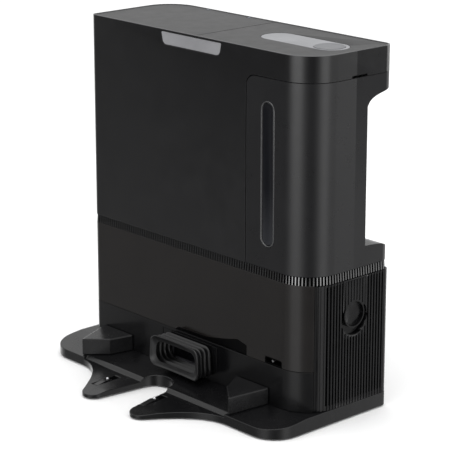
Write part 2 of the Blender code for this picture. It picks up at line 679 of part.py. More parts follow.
def build_covers():
    """The upper body's two wrap-round covers."""
    split = BACK - UPPER_CORNER_BR - 0.0010
    outline = wall_outline(COVER_SPLIT, split, ("fl", "fr"), 0.0)
    front = prism("front_cover", outline, RING_TOP, HEIGHT, "charcoal")
    corner = fillet_path([(TANK_LEFT, 0.10), (TANK_LEFT, BAND_BOTTOM), (RIGHT + 0.01, BAND_BOTTOM)],
                         [0.0160], 8)
    bay = [tuple(p) for p in corner] + [(RIGHT + 0.01, 0.10)]
    boolean(front, prism("cut_tank_bay", bay, FRONT - 0.01, BACK + 0.01, axis="Y", helper=True))
    tab = tab_outline(0.0005)
    boolean(front, prism("cut_tab", tab, FRONT - 0.01, FRONT + 0.01, axis="Y", helper=True))
    slit = ((RIGHT - 0.01, 0.0625, BAND_BOTTOM - 0.001), (RIGHT + 0.01, 0.0885, BAND_BOTTOM + 0.0028))
    boolean(front, boxes("cut_band_slit", [slit]))

    outline = wall_outline(COVER_SPLIT + SEAM, split + SEAM, ("bl", "br"), 0.0, UPPER_CORNER_BR)
    rear = prism("rear_cover", outline, RING_TOP, HEIGHT, "charcoal")
    gone = [(TANK_LEFT - 0.0020, 0.10), (RIGHT + 0.01, 0.10), (RIGHT + 0.01, BAND_BOTTOM),
            (TANK_LEFT - 0.0020, BAND_BOTTOM)]
    boolean(rear, prism("cut_rear_bay", gone, split - 0.002, BACK + 0.01, axis="Y", helper=True))


def tab_outline(grow):
    """The release tab: a trapezoid that narrows downwards, with round lower corners."""
    top, bottom = 0.4668, 0.4508
    corners = [(TAB_X - 0.0565 - grow, top + grow), (TAB_X - 0.0530 - grow, bottom - grow),
               (TAB_X + 0.0530 + grow, bottom - grow), (TAB_X + 0.0565 + grow, top + grow)]
    return rounded_loop(corners, [0.0012, 0.0070, 0.0070, 0.0012], 5)


def build_release_tab():
    tab = prism("release_tab", tab_outline(0.0), FRONT + 0.0002, FRONT + 0.0030, "tab_grey", axis="Y")
    set_origin(tab, (TAB_X, FRONT, 0.4590))


def plate_outline(left, right):
    """A top plate inside the covers' rim, between two X limits."""
    inset = WALL + 0.0005
    radii = {"fl": CORNER_FL - inset, "fr": CORNER_FR - inset, "br": UPPER_CORNER_BR - inset}
    front, back = FRONT + inset, BACK - inset
    if left < BODY_LEFT + 0.01:
        corners = [(BODY_LEFT + inset, front), (right, front), (right, back), (BODY_LEFT + inset, back)]
        return rounded_loop(corners, [radii["fl"], 0.0005, 0.0005, LID_CORNER])
    corners = [(left, front), (RIGHT - inset, front), (RIGHT - inset, back), (left, back)]
    return rounded_loop(corners, [0.0005, radii["fr"], radii["br"], 0.0005])


def build_top():
    """The bin's lid, and the fixed deck with its inlay and button."""
    lid = prism("bin_lid", plate_outline(BODY_LEFT, LID_SEAM_X - 0.0004), PLATE_TOP - PLATE_THICK, PLATE_TOP, "charcoal")
    axis_y, axis_z = LID_AXIS_Y, LID_AXIS_Z
    swing = ((BODY_LEFT, axis_y - 0.0018, 0.45), (-0.1565, axis_y + 0.02, 0.48))
    boolean(lid, boxes("cut_swing_relief", [swing]))
    knuckle = ((-0.130, axis_y - 0.0026, PLATE_TOP - 0.0045), (-0.010, axis_y + 0.0024, PLATE_TOP - 0.0009))
    boolean(lid, boxes("add_knuckle", [knuckle]), "UNION")
    ears = [((x - 0.0034, axis_y - 0.0030, 0.45), (x + 0.0034, axis_y + 0.0035, PLATE_TOP + 0.001))
            for x in LID_EARS]
    boolean(lid, boxes("cut_ear_gaps", ears))
    bore = lathe("cut_lid_bore", [(0, -0.1), (0.00055, -0.1), (0.00055, 0.1), (0, 0.1)],
                 (-0.070, axis_y, axis_z), axis="X", helper=True, steps=12)
    boolean(lid, bore)
    set_origin(lid, (-0.070, axis_y, axis_z))
    lathe("lid_hinge_pin", [(0, -0.0595), (0.0005, -0.0595), (0.0005, 0.0595), (0, 0.0595)],
          (-0.070, axis_y, axis_z), axis="X", slot="steel", steps=10)

    deck = prism("control_deck", plate_outline(LID_SEAM_X + 0.0004, RIGHT), PLATE_TOP - PLATE_THICK, PLATE_TOP, "charcoal")
    tray = stadium(INLAY_LEFT, INLAY_RIGHT, INLAY_Y, INLAY_RADIUS + 0.0020)
    boolean(deck, prism("add_inlay_tray", tray, PLATE_TOP - 0.0075, PLATE_TOP - 0.0010, helper=True), "UNION")
    recess = stadium(INLAY_LEFT, INLAY_RIGHT, INLAY_Y, INLAY_RADIUS + 0.0004)
    boolean(deck, prism("cut_inlay_recess", recess, PLATE_TOP - 0.0032, PLATE_TOP + 0.001, helper=True))
    well = circle(BUTTON_X, BUTTON_Y, 0.0100)
    boolean(deck, prism("cut_button_well", well, PLATE_TOP - 0.009, PLATE_TOP + 0.001, helper=True))

    inlay = prism("status_inlay", stadium(INLAY_LEFT, INLAY_RIGHT, INLAY_Y, INLAY_RADIUS),
                  PLATE_TOP - 0.0029, PLATE_TOP - 0.0001, "inlay_grey")
    ring = circle(BUTTON_X, BUTTON_Y, BUTTON_RADIUS + 0.0004, 40)
    boolean(inlay, prism("cut_inlay_ring", ring, PLATE_TOP - 0.01, PLATE_TOP + 0.001, helper=True))
    profile = [(0, -0.0100), (0.0030, -0.0100), (0.0030, -0.0013), (BUTTON_RADIUS, -0.0013),
               (BUTTON_RADIUS, 0.0003), (BUTTON_RADIUS - 0.0010, 0.0008), (BUTTON_RADIUS - 0.0030, 0.0002),
               (0.010, -0.0003), (0, -0.0004)]
    profile = [(r, z + PLATE_TOP) for r, z in profile]
    lathe("control_button", profile, (BUTTON_X, BUTTON_Y, 0), slot="inlay_grey", steps=40)
    spring("button_spring", (BUTTON_X, BUTTON_Y, PLATE_TOP - 0.00685), 0.0050, 0.0007, 0.0092, 3)
    board = rounded_box_outline(0.1300, 0.2060, 0.0420, 0.0960, 0.003, 3)
    prism("control_board", board, PLATE_TOP - 0.0140, PLATE_TOP - 0.0122, "board_green")


def build_bin():
    """The dust bin with its ears for the lid's pin, and its filter."""
    left, right = BODY_LEFT + 0.0055, LID_SEAM_X - 0.0060
    front, back = FRONT + 0.0130, BACK - 0.0052
    low, high = 0.1895, 0.4630
    outer = rounded_loop([(left, front), (right, front), (right, back), (left, back)],
                         [0.0025, 0.0025, 0.0025, 0.0395], 5)
    inner = rounded_loop([(left + 0.002, front + 0.002), (right - 0.002, front + 0.002),
                          (right - 0.002, back - 0.002), (left + 0.002, back - 0.002)],
                         [0.0008, 0.0008, 0.0008, 0.0375], 5)
    dust_bin = prism("dust_bin", outer, low, high, "smoked_clear")
    boolean(dust_bin, prism("cut_bin", inner, low + 0.0025, high + 0.01, helper=True))
    ears = [((x - 0.0028, LID_AXIS_Y - 0.0022, 0.4500), (x + 0.0028, LID_AXIS_Y + 0.0020, LID_AXIS_Z + 0.0011))
            for x in LID_EARS]
    boolean(dust_bin, boxes("add_bin_ears", ears), "UNION")
    bore = lathe("cut_ear_bore", [(0, -0.1), (0.00055, -0.1), (0.00055, 0.1), (0, 0.1)],
                 (-0.070, LID_AXIS_Y, LID_AXIS_Z), axis="X", helper=True, steps=12)
    boolean(dust_bin, bore)
    inlet = ((PORT_X - DUCT_HALF + DUCT_WALL, 0.0205, 0.18), (right - 0.0020, 0.0495, 0.20))
    boolean(dust_bin, boxes("cut_bin_inlet", [inlet]))

    pleats = []
    count = 12
    depth = (back - 0.006 - front - 0.004) / count
    for i in range(count):
        y = front + 0.004 + depth * i
        pleats += [(y, 0.0200), (y + depth / 2, 0.0240)]
    outline = [(x, y) for y, x in pleats] + [(0.0240 + 0.012, pleats[-1][0]), (0.0240 + 0.012, pleats[0][0])]
    prism("bin_filter", outline, 0.1900, 0.3200, "filter_white")


def tank_outline(inset):
    left = TANK_LEFT + 0.0003 + inset
    right = RIGHT - 0.0002 - inset
    front = FRONT + 0.0002 + inset
    back = BACK - 0.0002 - inset
    corners = [(left, front), (right, front), (right, back), (left, back)]
    return rounded_loop(corners, [0.0015, CORNER_FR - inset, UPPER_CORNER_BR - inset, 0.0015], 10)


def grip_outline(grow):
    """The finger notch in the tank's rear corner, seen from the side, as (y, z)."""
    shelf = interpolate_bezier(
        Vector((0.0904 - grow, 0.2395)), Vector((0.1050, 0.2350 - grow)),
        Vector((0.1260, 0.2280 - grow)), Vector((BACK + 0.002, 0.2080 - grow)), 8,
    )
    roof = interpolate_bezier(
        Vector((BACK + 0.002, 0.4190 + grow)), Vector((0.1180, 0.4110 + grow)),
        Vector((0.0960, 0.4130 + grow)), Vector((0.0904 - grow, 0.3985)), 8,
    )
    return ([tuple(p) for p in shelf] + [(BACK + 0.02, 0.2080 - grow), (BACK + 0.02, 0.4190 + grow)]
            + [tuple(p) for p in roof])


def build_tank():
    """Slide-out clean water tank with its window, cap and outlet valve."""
    low, high = RING_TOP + 0.0004, BAND_BOTTOM - SEAM
    tank = prism("water_tank", tank_outline(0.0), low, high, "charcoal")
    notch_left = RIGHT - 0.0620
    boolean(tank, prism("cut_grip", grip_outline(0.0), notch_left, RIGHT + 0.01, axis="X", helper=True))
    cavity = prism("cut_tank_cavity", tank_outline(0.0028), low + 0.0028, high - 0.0125, helper=True)
    boolean(cavity, prism("keep_grip", grip_outline(0.0028), notch_left - 0.0028, RIGHT + 0.02,
                          axis="X", helper=True))
    boolean(tank, cavity)
    round_corner = []
    centre = (TANK_LEFT + 0.0165, BAND_BOTTOM - 0.0165)
    for i in range(9):
        angle = math.radians(90 + 90 * i / 8)
        round_corner.append((centre[0] + 0.0161 * math.cos(angle), centre[1] + 0.0161 * math.sin(angle)))
    round_corner += [(TANK_LEFT - 0.01, centre[1]), (TANK_LEFT - 0.01, BAND_BOTTOM + 0.01),
                     (centre[0], BAND_BOTTOM + 0.01)]
    boolean(tank, prism("cut_tank_corner", round_corner, FRONT - 0.01, BACK + 0.01, axis="Y", helper=True))
    slot = stadium(0.2360, 0.3960, 0.1515, 0.0125)
    slot = [(x, z) for z, x in slot]
    boolean(tank, prism("cut_window", slot, FRONT - 0.01, FRONT + 0.008, axis="Y", helper=True))
    cap_x, cap_y = 0.1560, 0.0560
    pocket = lathe("cut_cap_pocket", [(0, -0.0072), (0.0245, -0.0072), (0.0245, 0.01), (0, 0.01)],
                   (cap_x, cap_y, high), helper=True)
    boolean(tank, pocket)
    hole = lathe("cut_filler", [(0, -0.02), (0.0180, -0.02), (0.0180, 0.01), (0, 0.01)],
                 (cap_x, cap_y, high), helper=True)
    boolean(tank, hole)
    seat = lathe("cut_valve_seat", [(0, -0.02), (0.0060, -0.02), (0.0060, 0.02), (0, 0.02)],
                 (TANK_LEFT, VALVE_Y, VALVE_Z), axis="X", helper=True, steps=20)
    boolean(tank, seat)

    frame = prism("tank_window_bezel", [(x, z) for z, x in stadium(0.2360, 0.3960, 0.1515, 0.0122)],
                  FRONT - 0.0004, FRONT + 0.0024, "tab_grey", axis="Y")
    boolean(frame, prism("cut_bezel", [(x, z) for z, x in stadium(0.2360, 0.3960, 0.1515, 0.0098)],
                         FRONT - 0.01, FRONT + 0.01, axis="Y", helper=True))
    prism("tank_window", [(x, z) for z, x in stadium(0.2360, 0.3960, 0.1515, 0.0095)],
          FRONT + 0.0006, FRONT + 0.0024, "smoked_clear", axis="Y")

    profile = [(0, -0.0150), (0.0176, -0.0150), (0.0176, -0.0069), (0.0236, -0.0069), (0.0236, -0.0030), (0, -0.0030)]
    cap = lathe("tank_cap", profile, (cap_x, cap_y, high), slot="inner_grey", steps=32)
    bar = ((cap_x - 0.0030, cap_y - 0.0180, high - 0.0035), (cap_x + 0.0030, cap_y + 0.0180, high - 0.0004))
    boolean(cap, boxes("add_cap_bar", [bar]), "UNION")
    stem = [(0, 0.0005), (0.0040, 0.0005), (0.0040, 0.0034), (0.0085, 0.0034), (0.0085, 0.0055),
            (0.0025, 0.0055), (0.0025, 0.0120), (0, 0.0120)]
    lathe("tank_valve", stem, (TANK_LEFT, VALVE_Y, VALVE_Z), axis="X", slot="rubber", steps=20)
    spring("valve_spring", (TANK_LEFT + 0.0100, VALVE_Y, VALVE_Z), 0.0040, 0.0007, 0.0075, 3, axis="X")
    spout = [(0.0028, -0.0140), (0.0058, -0.0140), (0.0058, -0.0001), (0.0028, -0.0001)]
    lathe("tank_coupling", spout, (TANK_LEFT, VALVE_Y, VALVE_Z), axis="X", slot="inner_grey", steps=20)


# ---------------------------------------------------------------- machinery

def build_machinery():
    x, y = MOTOR_X, MOTOR_Y
    shell = [(0, 0.0215), (0.0400, 0.0215), (0.0430, 0.0250), (0.0430, 0.1620), (0.0400, 0.1650),
             (0.0200, 0.1650), (0.0200, 0.1625), (0.0390, 0.1625), (0.0405, 0.1610), (0.0405, 0.0270),
             (0.0380, 0.0245), (0, 0.0245)]
    lathe("motor_housing", shell, (x, y, 0), slot="inner_grey", steps=28)
    motor = [(0, 0.0255), (0.0300, 0.0255), (0.0330, 0.0290), (0.0330, 0.1150), (0.0280, 0.1200),
             (0.0120, 0.1200), (0.0120, 0.1250), (0.0030, 0.1250), (0.0030, 0.1420), (0, 0.1420)]
    lathe("suction_motor", motor, (x, y, 0), slot="motor_metal", steps=28)
    build_impeller(x, y)

    pleats = []
    count = 16
    front, back = 0.0320, 0.1200
    step = (back - front) / count
    for i in range(count):
        pleats += [(0.2100, front + step * i), (0.2020, front + step * (i + 0.5))]
    outline = pleats + [(0.2100, back), (0.1900, back), (0.1900, front)]
    prism("hepa_filter", outline, 0.0250, 0.1780, "filter_white")

    pump = box("water_pump", (0.1500, 0.0050, 0.0215), (0.1820, 0.0300, 0.0480), "inner_grey")
    bevel = pump.modifiers.new("soft_edges", "BEVEL")
    bevel.width = 0.002
    bevel.segments = 2
    tube("tank_hose", [(TANK_LEFT - 0.0145, VALVE_Y, VALVE_Z), (TANK_LEFT - 0.0260, 0.0440, VALVE_Z),
                       (HOSE_X + 0.0080, 0.0290, 0.2120), (HOSE_X, 0.0215, 0.2020), (HOSE_X, 0.0215, 0.1780),
                       (HOSE_X + 0.0200, 0.0180, 0.1250), (0.1350, 0.0180, 0.0850),
                       (0.1600, 0.0180, 0.0640), (0.1600, 0.0180, 0.0500)],
         0.0025, "hose_clear")
    tube("nozzle_hose", [(0.1720, 0.0180, 0.0495), (0.1720, 0.0180, 0.0600), (0.1660, 0.0155, 0.0710),
                         (NOZZLE_X, 0.0125, 0.0755)], 0.0025, "hose_clear")

    case = rounded_box_outline(-0.1650, -0.0900, 0.0200, 0.0950, 0.004, 3)
    prism("power_supply", case, 0.0215, 0.0620, "inner_grey")
    board = box("circuit_board", (-0.1700, 0.0080, 0.0800), (-0.0500, 0.0096, 0.1700), "board_green")
    parts = [((-0.1550, 0.0090, 0.0900), (-0.1350, 0.0200, 0.1200)),
             ((-0.1200, 0.0090, 0.1000), (-0.1000, 0.0120, 0.1200)),
             ((-0.0900, 0.0090, 0.1300), (-0.0650, 0.0180, 0.1550)),
             ((-0.1500, 0.0090, 0.1400), (-0.1150, 0.0150, 0.1500))]
    boolean(board, boxes("add_components", parts), "UNION")


def build_impeller(x, y):
    """A backing disc with a hub and curved blades, on the motor's shaft."""
    disc = [(0.0034, 0.1280), (0.0360, 0.1280), (0.0360, 0.1300), (0.0100, 0.1300), (0.0080, 0.1410), (0.0034, 0.1410)]
    impeller = lathe("impeller", disc, (x, y, 0), slot="inner_grey", steps=28)
    bm = bmesh.new()
    count = 7
    for k in range(count):
        turn = 2 * math.pi * k / count
        outer, inner = [], []
        for i in range(5):
            radius = 0.0115 + 0.0225 * i / 4
            angle = turn + 0.9 * i / 4
            outer.append((x + radius * math.cos(angle), y + radius * math.sin(angle)))
            angle += 0.0012 / radius
            inner.append((x + radius * math.cos(angle), y + radius * math.sin(angle)))
        outline = outer + inner[::-1]
        low = [bm.verts.new((px, py, 0.1292)) for px, py in outline]
        high = [bm.verts.new((px, py, 0.1390)) for px, py in outline]
        bm.faces.new(low)
        bm.faces.new(high)
        for i in range(len(outline)):
            j = (i + 1) % len(outline)
            bm.faces.new((low[i], low[j], high[j], high[i]))
    blades = add_object("add_blades", bm, None, helper=True)
    boolean(impeller, blades, "UNION")
    return impeller


def build_nozzle():
    """The pocket in the front wall with the spout that refills the robot."""
    low, high = PANEL_SEAM + 0.0006, 0.0822
    outline = rounded_box_outline(0.1488, 0.1787, low, high, 0.0027, 4)
    cup = prism("nozzle_pocket", outline, FRONT + 0.0008, FRONT + 0.0140, "gloss_black", axis="Y")
    mouth = rounded_box_outline(0.1500, 0.1775, low + 0.0012, high - 0.0012, 0.0018, 4)
    boolean(cup, prism("cut_cup", mouth, FRONT - 0.01, FRONT + 0.0125, axis="Y", helper=True))
    hole = lathe("cut_cup_hole", [(0, 0), (0.0019, 0), (0.0019, 0.02), (0, 0.02)],
                 (NOZZLE_X, FRONT + 0.0100, NOZZLE_Z), axis="Y", helper=True, steps=16)
    boolean(cup, hole)
    profile = [(0, 0.0020), (0.0016, 0.0022), (0.0022, 0.0040), (0.0022, 0.0080),
               (0.0015, 0.0085), (0.0015, 0.0145), (0, 0.0145)]
    lathe("refill_nozzle", profile, (NOZZLE_X, FRONT, NOZZLE_Z), axis="Y", slot="steel", steps=16)


def main():
    clear_scene()
    build_tray()
    build_guide_blocks()
    build_contacts()
    build_front_panels()
    build_port()
    build_intake()
    build_lower_shell()
    build_side_door()
    build_ring()
    build_inner_frame()
    build_covers()
    build_release_tab()
    build_top()
    build_bin()
    build_tank()
    build_nozzle()
    build_machinery()


main()
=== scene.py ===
import json
import math

import bmesh
import bpy
from mathutils import Matrix, Vector
from mathutils.geometry import interpolate_bezier


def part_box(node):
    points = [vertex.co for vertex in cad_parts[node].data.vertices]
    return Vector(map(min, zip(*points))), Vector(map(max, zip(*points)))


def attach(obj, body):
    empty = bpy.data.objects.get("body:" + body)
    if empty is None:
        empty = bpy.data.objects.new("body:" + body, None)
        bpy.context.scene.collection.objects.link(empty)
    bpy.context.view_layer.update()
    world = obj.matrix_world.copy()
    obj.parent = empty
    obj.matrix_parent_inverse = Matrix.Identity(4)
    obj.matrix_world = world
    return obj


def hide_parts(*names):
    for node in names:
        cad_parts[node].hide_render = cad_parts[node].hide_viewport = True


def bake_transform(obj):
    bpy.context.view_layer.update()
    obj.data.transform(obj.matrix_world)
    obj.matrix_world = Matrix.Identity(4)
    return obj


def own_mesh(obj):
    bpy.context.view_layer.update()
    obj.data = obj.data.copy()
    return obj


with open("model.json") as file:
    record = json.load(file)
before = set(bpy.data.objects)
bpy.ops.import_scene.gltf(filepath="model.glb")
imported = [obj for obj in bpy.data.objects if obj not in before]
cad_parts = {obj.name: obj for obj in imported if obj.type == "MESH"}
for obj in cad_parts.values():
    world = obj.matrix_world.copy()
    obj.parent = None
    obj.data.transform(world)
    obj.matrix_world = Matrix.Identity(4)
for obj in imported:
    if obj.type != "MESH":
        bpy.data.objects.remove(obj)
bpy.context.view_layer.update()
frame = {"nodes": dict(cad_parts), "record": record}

NODES = frame["nodes"]

# ------------------------------------------------------------------ sizes from the frame

cover_low, cover_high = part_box("front_cover")
_, tray_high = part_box("base_tray")
ring_low, ring_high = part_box("ribbed_ring")
_, inlay_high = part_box("status_inlay")
button_low, button_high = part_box("control_button")
door_low, door_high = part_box("side_grille")
latch_low, latch_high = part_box("filter_latch")
tank_low, tank_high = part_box("water_tank")

RIGHT = cover_high.x
FRONT, BACK = cover_low.y, tray_high.y
RADII = (0.009, 0.046, 0.014, 0.045)


# ------------------------------------------------------------------ materials

def nodes_of(name):
    material = bpy.data.materials.new(name)
    material.use_nodes = True
    tree = material.node_tree
    shader = tree.nodes["Principled BSDF"]
    return material, tree, shader


def add_node(tree, kind, **values):
    node = tree.nodes.new(kind)
    for key, value in values.items():
        setattr(node, key, value)
    return node


def noise(tree, coords, scale, detail=3.0, roughness=0.55):
    node = add_node(tree, "ShaderNodeTexNoise")
    node.inputs["Scale"].default_value = scale
    node.inputs["Detail"].default_value = detail
    node.inputs["Roughness"].default_value = roughness
    tree.links.new(coords, node.inputs["Vector"])
    return node.outputs["Fac"]


def ramp(tree, value, low, high, start, end):
    """Maps value from low..high to start..end, held at both ends."""
    node = add_node(tree, "ShaderNodeMapRange")
    node.inputs["From Min"].default_value = low
    node.inputs["From Max"].default_value = high
    node.inputs["To Min"].default_value = start
    node.inputs["To Max"].default_value = end
    tree.links.new(value, node.inputs["Value"])
    return node.outputs["Result"]


def mix_colours(tree, factor, first, second):
    node = add_node(tree, "ShaderNodeMix", data_type="RGBA")
    tree.links.new(factor, node.inputs["Factor"])
    sockets = [s for s in node.inputs if s.type == "RGBA"]
    for socket, value in zip(sockets, (first, second)):
        if isinstance(value, tuple):
            socket.default_value = (*value, 1.0)
        else:
            tree.links.new(value, socket)
    return [s for s in node.outputs if s.type == "RGBA"][0]


def plastic(name, colour, rough, grain=1400.0, grain_height=0.00002, spread=0.10, edge_wear_and_highlight=0.35,
            specular=0.5, tint=0.10, matt_from=None, painted_rim_highlight_above=None):
    """Moulded plastic: fine spark-eroded grain, soft tone and gloss variation, paler edges, partly rubbed and
    partly a painted highlight.

    matt_from is a depth Y from which the right side has a duller finish, most of all near its top; it also
    turns on painted skylight, a paler colour painted on faces that look upward. Above the given rim height Z
    the piece is painted paler, a painted highlight along its top rim.
    """
    material, tree, shader = nodes_of(name)
    coords = add_node(tree, "ShaderNodeTexCoord").outputs["Object"]
    broad = noise(tree, coords, 14.0, 4.0)
    fine = noise(tree, coords, grain, 2.0, 0.6)
    smear = noise(tree, coords, 45.0, 5.0, 0.65)
    dark = tuple(c * (1 - tint) for c in colour)
    light = tuple(min(c * (1 + tint), 1.0) for c in colour)
    base = mix_colours(tree, ramp(tree, broad, 0.35, 0.65, 0.0, 1.0), dark, light)
    # Paler edge colour laid on by pointiness: partly rubbed edges, partly a painted highlight where the
    # bevels catch light.
    worn_and_highlit = tuple(min(c * 1.9 + 0.012, 1.0) for c in colour)
    edge = add_node(tree, "ShaderNodeNewGeometry").outputs["Pointiness"]
    wear_and_highlight_amount = add_node(tree, "ShaderNodeMath", operation="MULTIPLY")
    tree.links.new(ramp(tree, edge, 0.52, 0.62, 0.0, edge_wear_and_highlight), wear_and_highlight_amount.inputs[0])
    tree.links.new(ramp(tree, smear, 0.35, 0.65, 0.4, 1.0), wear_and_highlight_amount.inputs[1])
    base = mix_colours(tree, wear_and_highlight_amount.outputs[0], base, worn_and_highlit)
    # Painted highlight: above the rim height the colour turns paler, standing in for light caught along the
    # top rim.
    if painted_rim_highlight_above is not None:
        place = add_node(tree, "ShaderNodeSeparateXYZ")
        tree.links.new(coords, place.inputs[0])
        rim = ramp(tree, place.outputs["Z"], painted_rim_highlight_above, painted_rim_highlight_above + 0.0002, 0.0, 1.0)
        base = mix_colours(tree, rim, base, (0.10, 0.10, 0.105))
    tree.links.new(base, shader.inputs["Base Color"])
    rough_map = ramp(tree, smear, 0.3, 0.7, rough - spread / 2, rough + spread / 2)
    tree.links.new(rough_map, shader.inputs["Roughness"])
    shader.inputs["Specular IOR Level"].default_value = specular
    if matt_from is not None:
        facing = add_node(tree, "ShaderNodeSeparateXYZ")
        tree.links.new(add_node(tree, "ShaderNodeNewGeometry").outputs["Normal"], facing.inputs[0])
        # Painted skylight: faces that look upward get a paler colour, standing in for the sky they reflect.
        painted_top_light = mix_colours(tree, ramp(tree, facing.outputs["Z"], 0.45, 0.80, 0.0, 1.0), base, UPWARD_PAINTED_LIGHT)
        tree.links.new(painted_top_light, shader.inputs["Base Color"])
        place = add_node(tree, "ShaderNodeSeparateXYZ")
        tree.links.new(coords, place.inputs[0])
        behind = ramp(tree, place.outputs["Y"], matt_from, matt_from + 0.0008, 0.0, 1.0)
        outside = ramp(tree, place.outputs["X"], RIGHT - 0.0030, RIGHT - 0.0010, 0.0, 1.0)
        above = ramp(tree, place.outputs["Z"], 0.260, 0.430, 0.30, 1.0)
        rear_side = add_node(tree, "ShaderNodeMath", operation="MULTIPLY")
        tree.links.new(behind, rear_side.inputs[0])
        tree.links.new(outside, rear_side.inputs[1])
        duller = add_node(tree, "ShaderNodeMath", operation="MULTIPLY")
        tree.links.new(rear_side.outputs[0], duller.inputs[0])
        tree.links.new(above, duller.inputs[1])
        tree.links.new(ramp(tree, duller.outputs[0], 0.0, 1.0, specular, specular * 0.40),
                       shader.inputs["Specular IOR Level"])
    bump = add_node(tree, "ShaderNodeBump")
    bump.inputs["Strength"].default_value = 0.22
    bump.inputs["Distance"].default_value = grain_height
    tree.links.new(fine, bump.inputs["Height"])
    tree.links.new(bump.outputs["Normal"], shader.inputs["Normal"])
    return material


def ring_plastic(name, colour, rough):
    """Black plastic with painted shade between the ribs: away from the crests, which the mesh's crest
    attribute marks, the colour is darker and the specular weaker.
    """
    material, tree, shader = nodes_of(name)
    coords = add_node(tree, "ShaderNodeTexCoord").outputs["Object"]
    smear = noise(tree, coords, 60.0, 4.0, 0.6)
    crest = add_node(tree, "ShaderNodeAttribute", attribute_name="crest").outputs["Fac"]
    # Painted shade: faces between the crests get a darker colour and a weaker specular, standing in for the
    # shade in the gaps.
    base = mix_colours(tree, crest, tuple(c * 0.4 for c in colour), colour)
    tree.links.new(base, shader.inputs["Base Color"])
    shader.inputs["IOR"].default_value = 2.2
    tree.links.new(ramp(tree, crest, 0.0, 1.0, 0.04, 0.50), shader.inputs["Specular IOR Level"])
    tree.links.new(ramp(tree, smear, 0.3, 0.7, rough - 0.03, rough + 0.03), shader.inputs["Roughness"])
    bump = add_node(tree, "ShaderNodeBump")
    bump.inputs["Strength"].default_value = 0.15
    bump.inputs["Distance"].default_value = 0.00001
    tree.links.new(noise(tree, coords, 1200.0, 2.0, 0.6), bump.inputs["Height"])
    tree.links.new(bump.outputs["Normal"], shader.inputs["Normal"])
    return material


def metal(name, colour, rough, stretch=(1.0, 1.0, 30.0)):
    """Machined or drawn metal with fine directional lines."""
    material, tree, shader = nodes_of(name)
    coords = add_node(tree, "ShaderNodeTexCoord").outputs["Object"]
    mapping = add_node(tree, "ShaderNodeMapping")
    mapping.inputs["Scale"].default_value = stretch
    tree.links.new(coords, mapping.inputs["Vector"])
    lines = noise(tree, mapping.outputs["Vector"], 220.0, 4.0)
    blotch = noise(tree, coords, 60.0, 3.0)
    dark = tuple(c * 0.82 for c in colour)
    base = mix_colours(tree, ramp(tree, blotch, 0.35, 0.65, 0.0, 1.0), dark, colour)
    tree.links.new(base, shader.inputs["Base Color"])
    shader.inputs["Metallic"].default_value = 1.0
    tree.links.new(ramp(tree, lines, 0.3, 0.7, rough * 0.7, rough * 1.4), shader.inputs["Roughness"])
    bump = add_node(tree, "ShaderNodeBump")
    bump.inputs["Strength"].default_value = 0.25
    bump.inputs["Distance"].default_value = 0.00002
    tree.links.new(lines, bump.inputs["Height"])
    tree.links.new(bump.outputs["Normal"], shader.inputs["Normal"])
    return material


def clear_plastic(name, colour, rough, weight):
    """Smoked see-through plastic with faint wipe marks."""
    material, tree, shader = nodes_of(name)
    coords = add_node(tree, "ShaderNodeTexCoord").outputs["Object"]
    smear = noise(tree, coords, 60.0, 5.0, 0.7)
    broad = noise(tree, coords, 9.0, 2.0)
    dark = tuple(c * 0.85 for c in colour)
    base = mix_colours(tree, ramp(tree, broad, 0.3, 0.7, 0.0, 1.0), dark, colour)
    tree.links.new(base, shader.inputs["Base Color"])
    tree.links.new(ramp(tree, smear, 0.3, 0.7, rough * 0.6, rough * 1.6), shader.inputs["Roughness"])
    shader.inputs["Transmission Weight"].default_value = weight
    shader.inputs["IOR"].default_value = 1.49
    return material


def fibre(name, colour):
    """Pleated filter paper: soft, with fine fibres."""
    material, tree, shader = nodes_of(name)
    coords = add_node(tree, "ShaderNodeTexCoord").outputs["Object"]
    strands = noise(tree, coords, 900.0, 6.0, 0.7)
    broad = noise(tree, coords, 30.0, 3.0)
    dark = tuple(c * 0.85 for c in colour)
    base = mix_colours(tree, ramp(tree, broad, 0.3, 0.7, 0.0, 1.0), dark, colour)
    tree.links.new(base, shader.inputs["Base Color"])
    shader.inputs["Roughness"].default_value = 0.95
    bump = add_node(tree, "ShaderNodeBump")
    bump.inputs["Strength"].default_value = 0.6
    bump.inputs["Distance"].default_value = 0.0001
    tree.links.new(strands, bump.inputs["Height"])
    tree.links.new(bump.outputs["Normal"], shader.inputs["Normal"])
    return material


def board(name):
    """Circuit board with solder mask, traces and darker parts."""
    material, tree, shader = nodes_of(name)
    coords = add_node(tree, "ShaderNodeTexCoord").outputs["Object"]
    cells = add_node(tree, "ShaderNodeTexVoronoi", distance="CHEBYCHEV")
    cells.inputs["Scale"].default_value = 160.0
    tree.links.new(coords, cells.inputs["Vector"])
    base = mix_colours(tree, ramp(tree, cells.outputs["Distance"], 0.30, 0.38, 0.0, 1.0),
                       (0.012, 0.085, 0.035), (0.030, 0.160, 0.070))
    tree.links.new(base, shader.inputs["Base Color"])
    shader.inputs["Roughness"].default_value = 0.38
    bump = add_node(tree, "ShaderNodeBump")
    bump.inputs["Strength"].default_value = 0.4
    bump.inputs["Distance"].default_value = 0.0001
    tree.links.new(cells.outputs["Distance"], bump.inputs["Height"])
    tree.links.new(bump.outputs["Normal"], shader.inputs["Normal"])
    return material
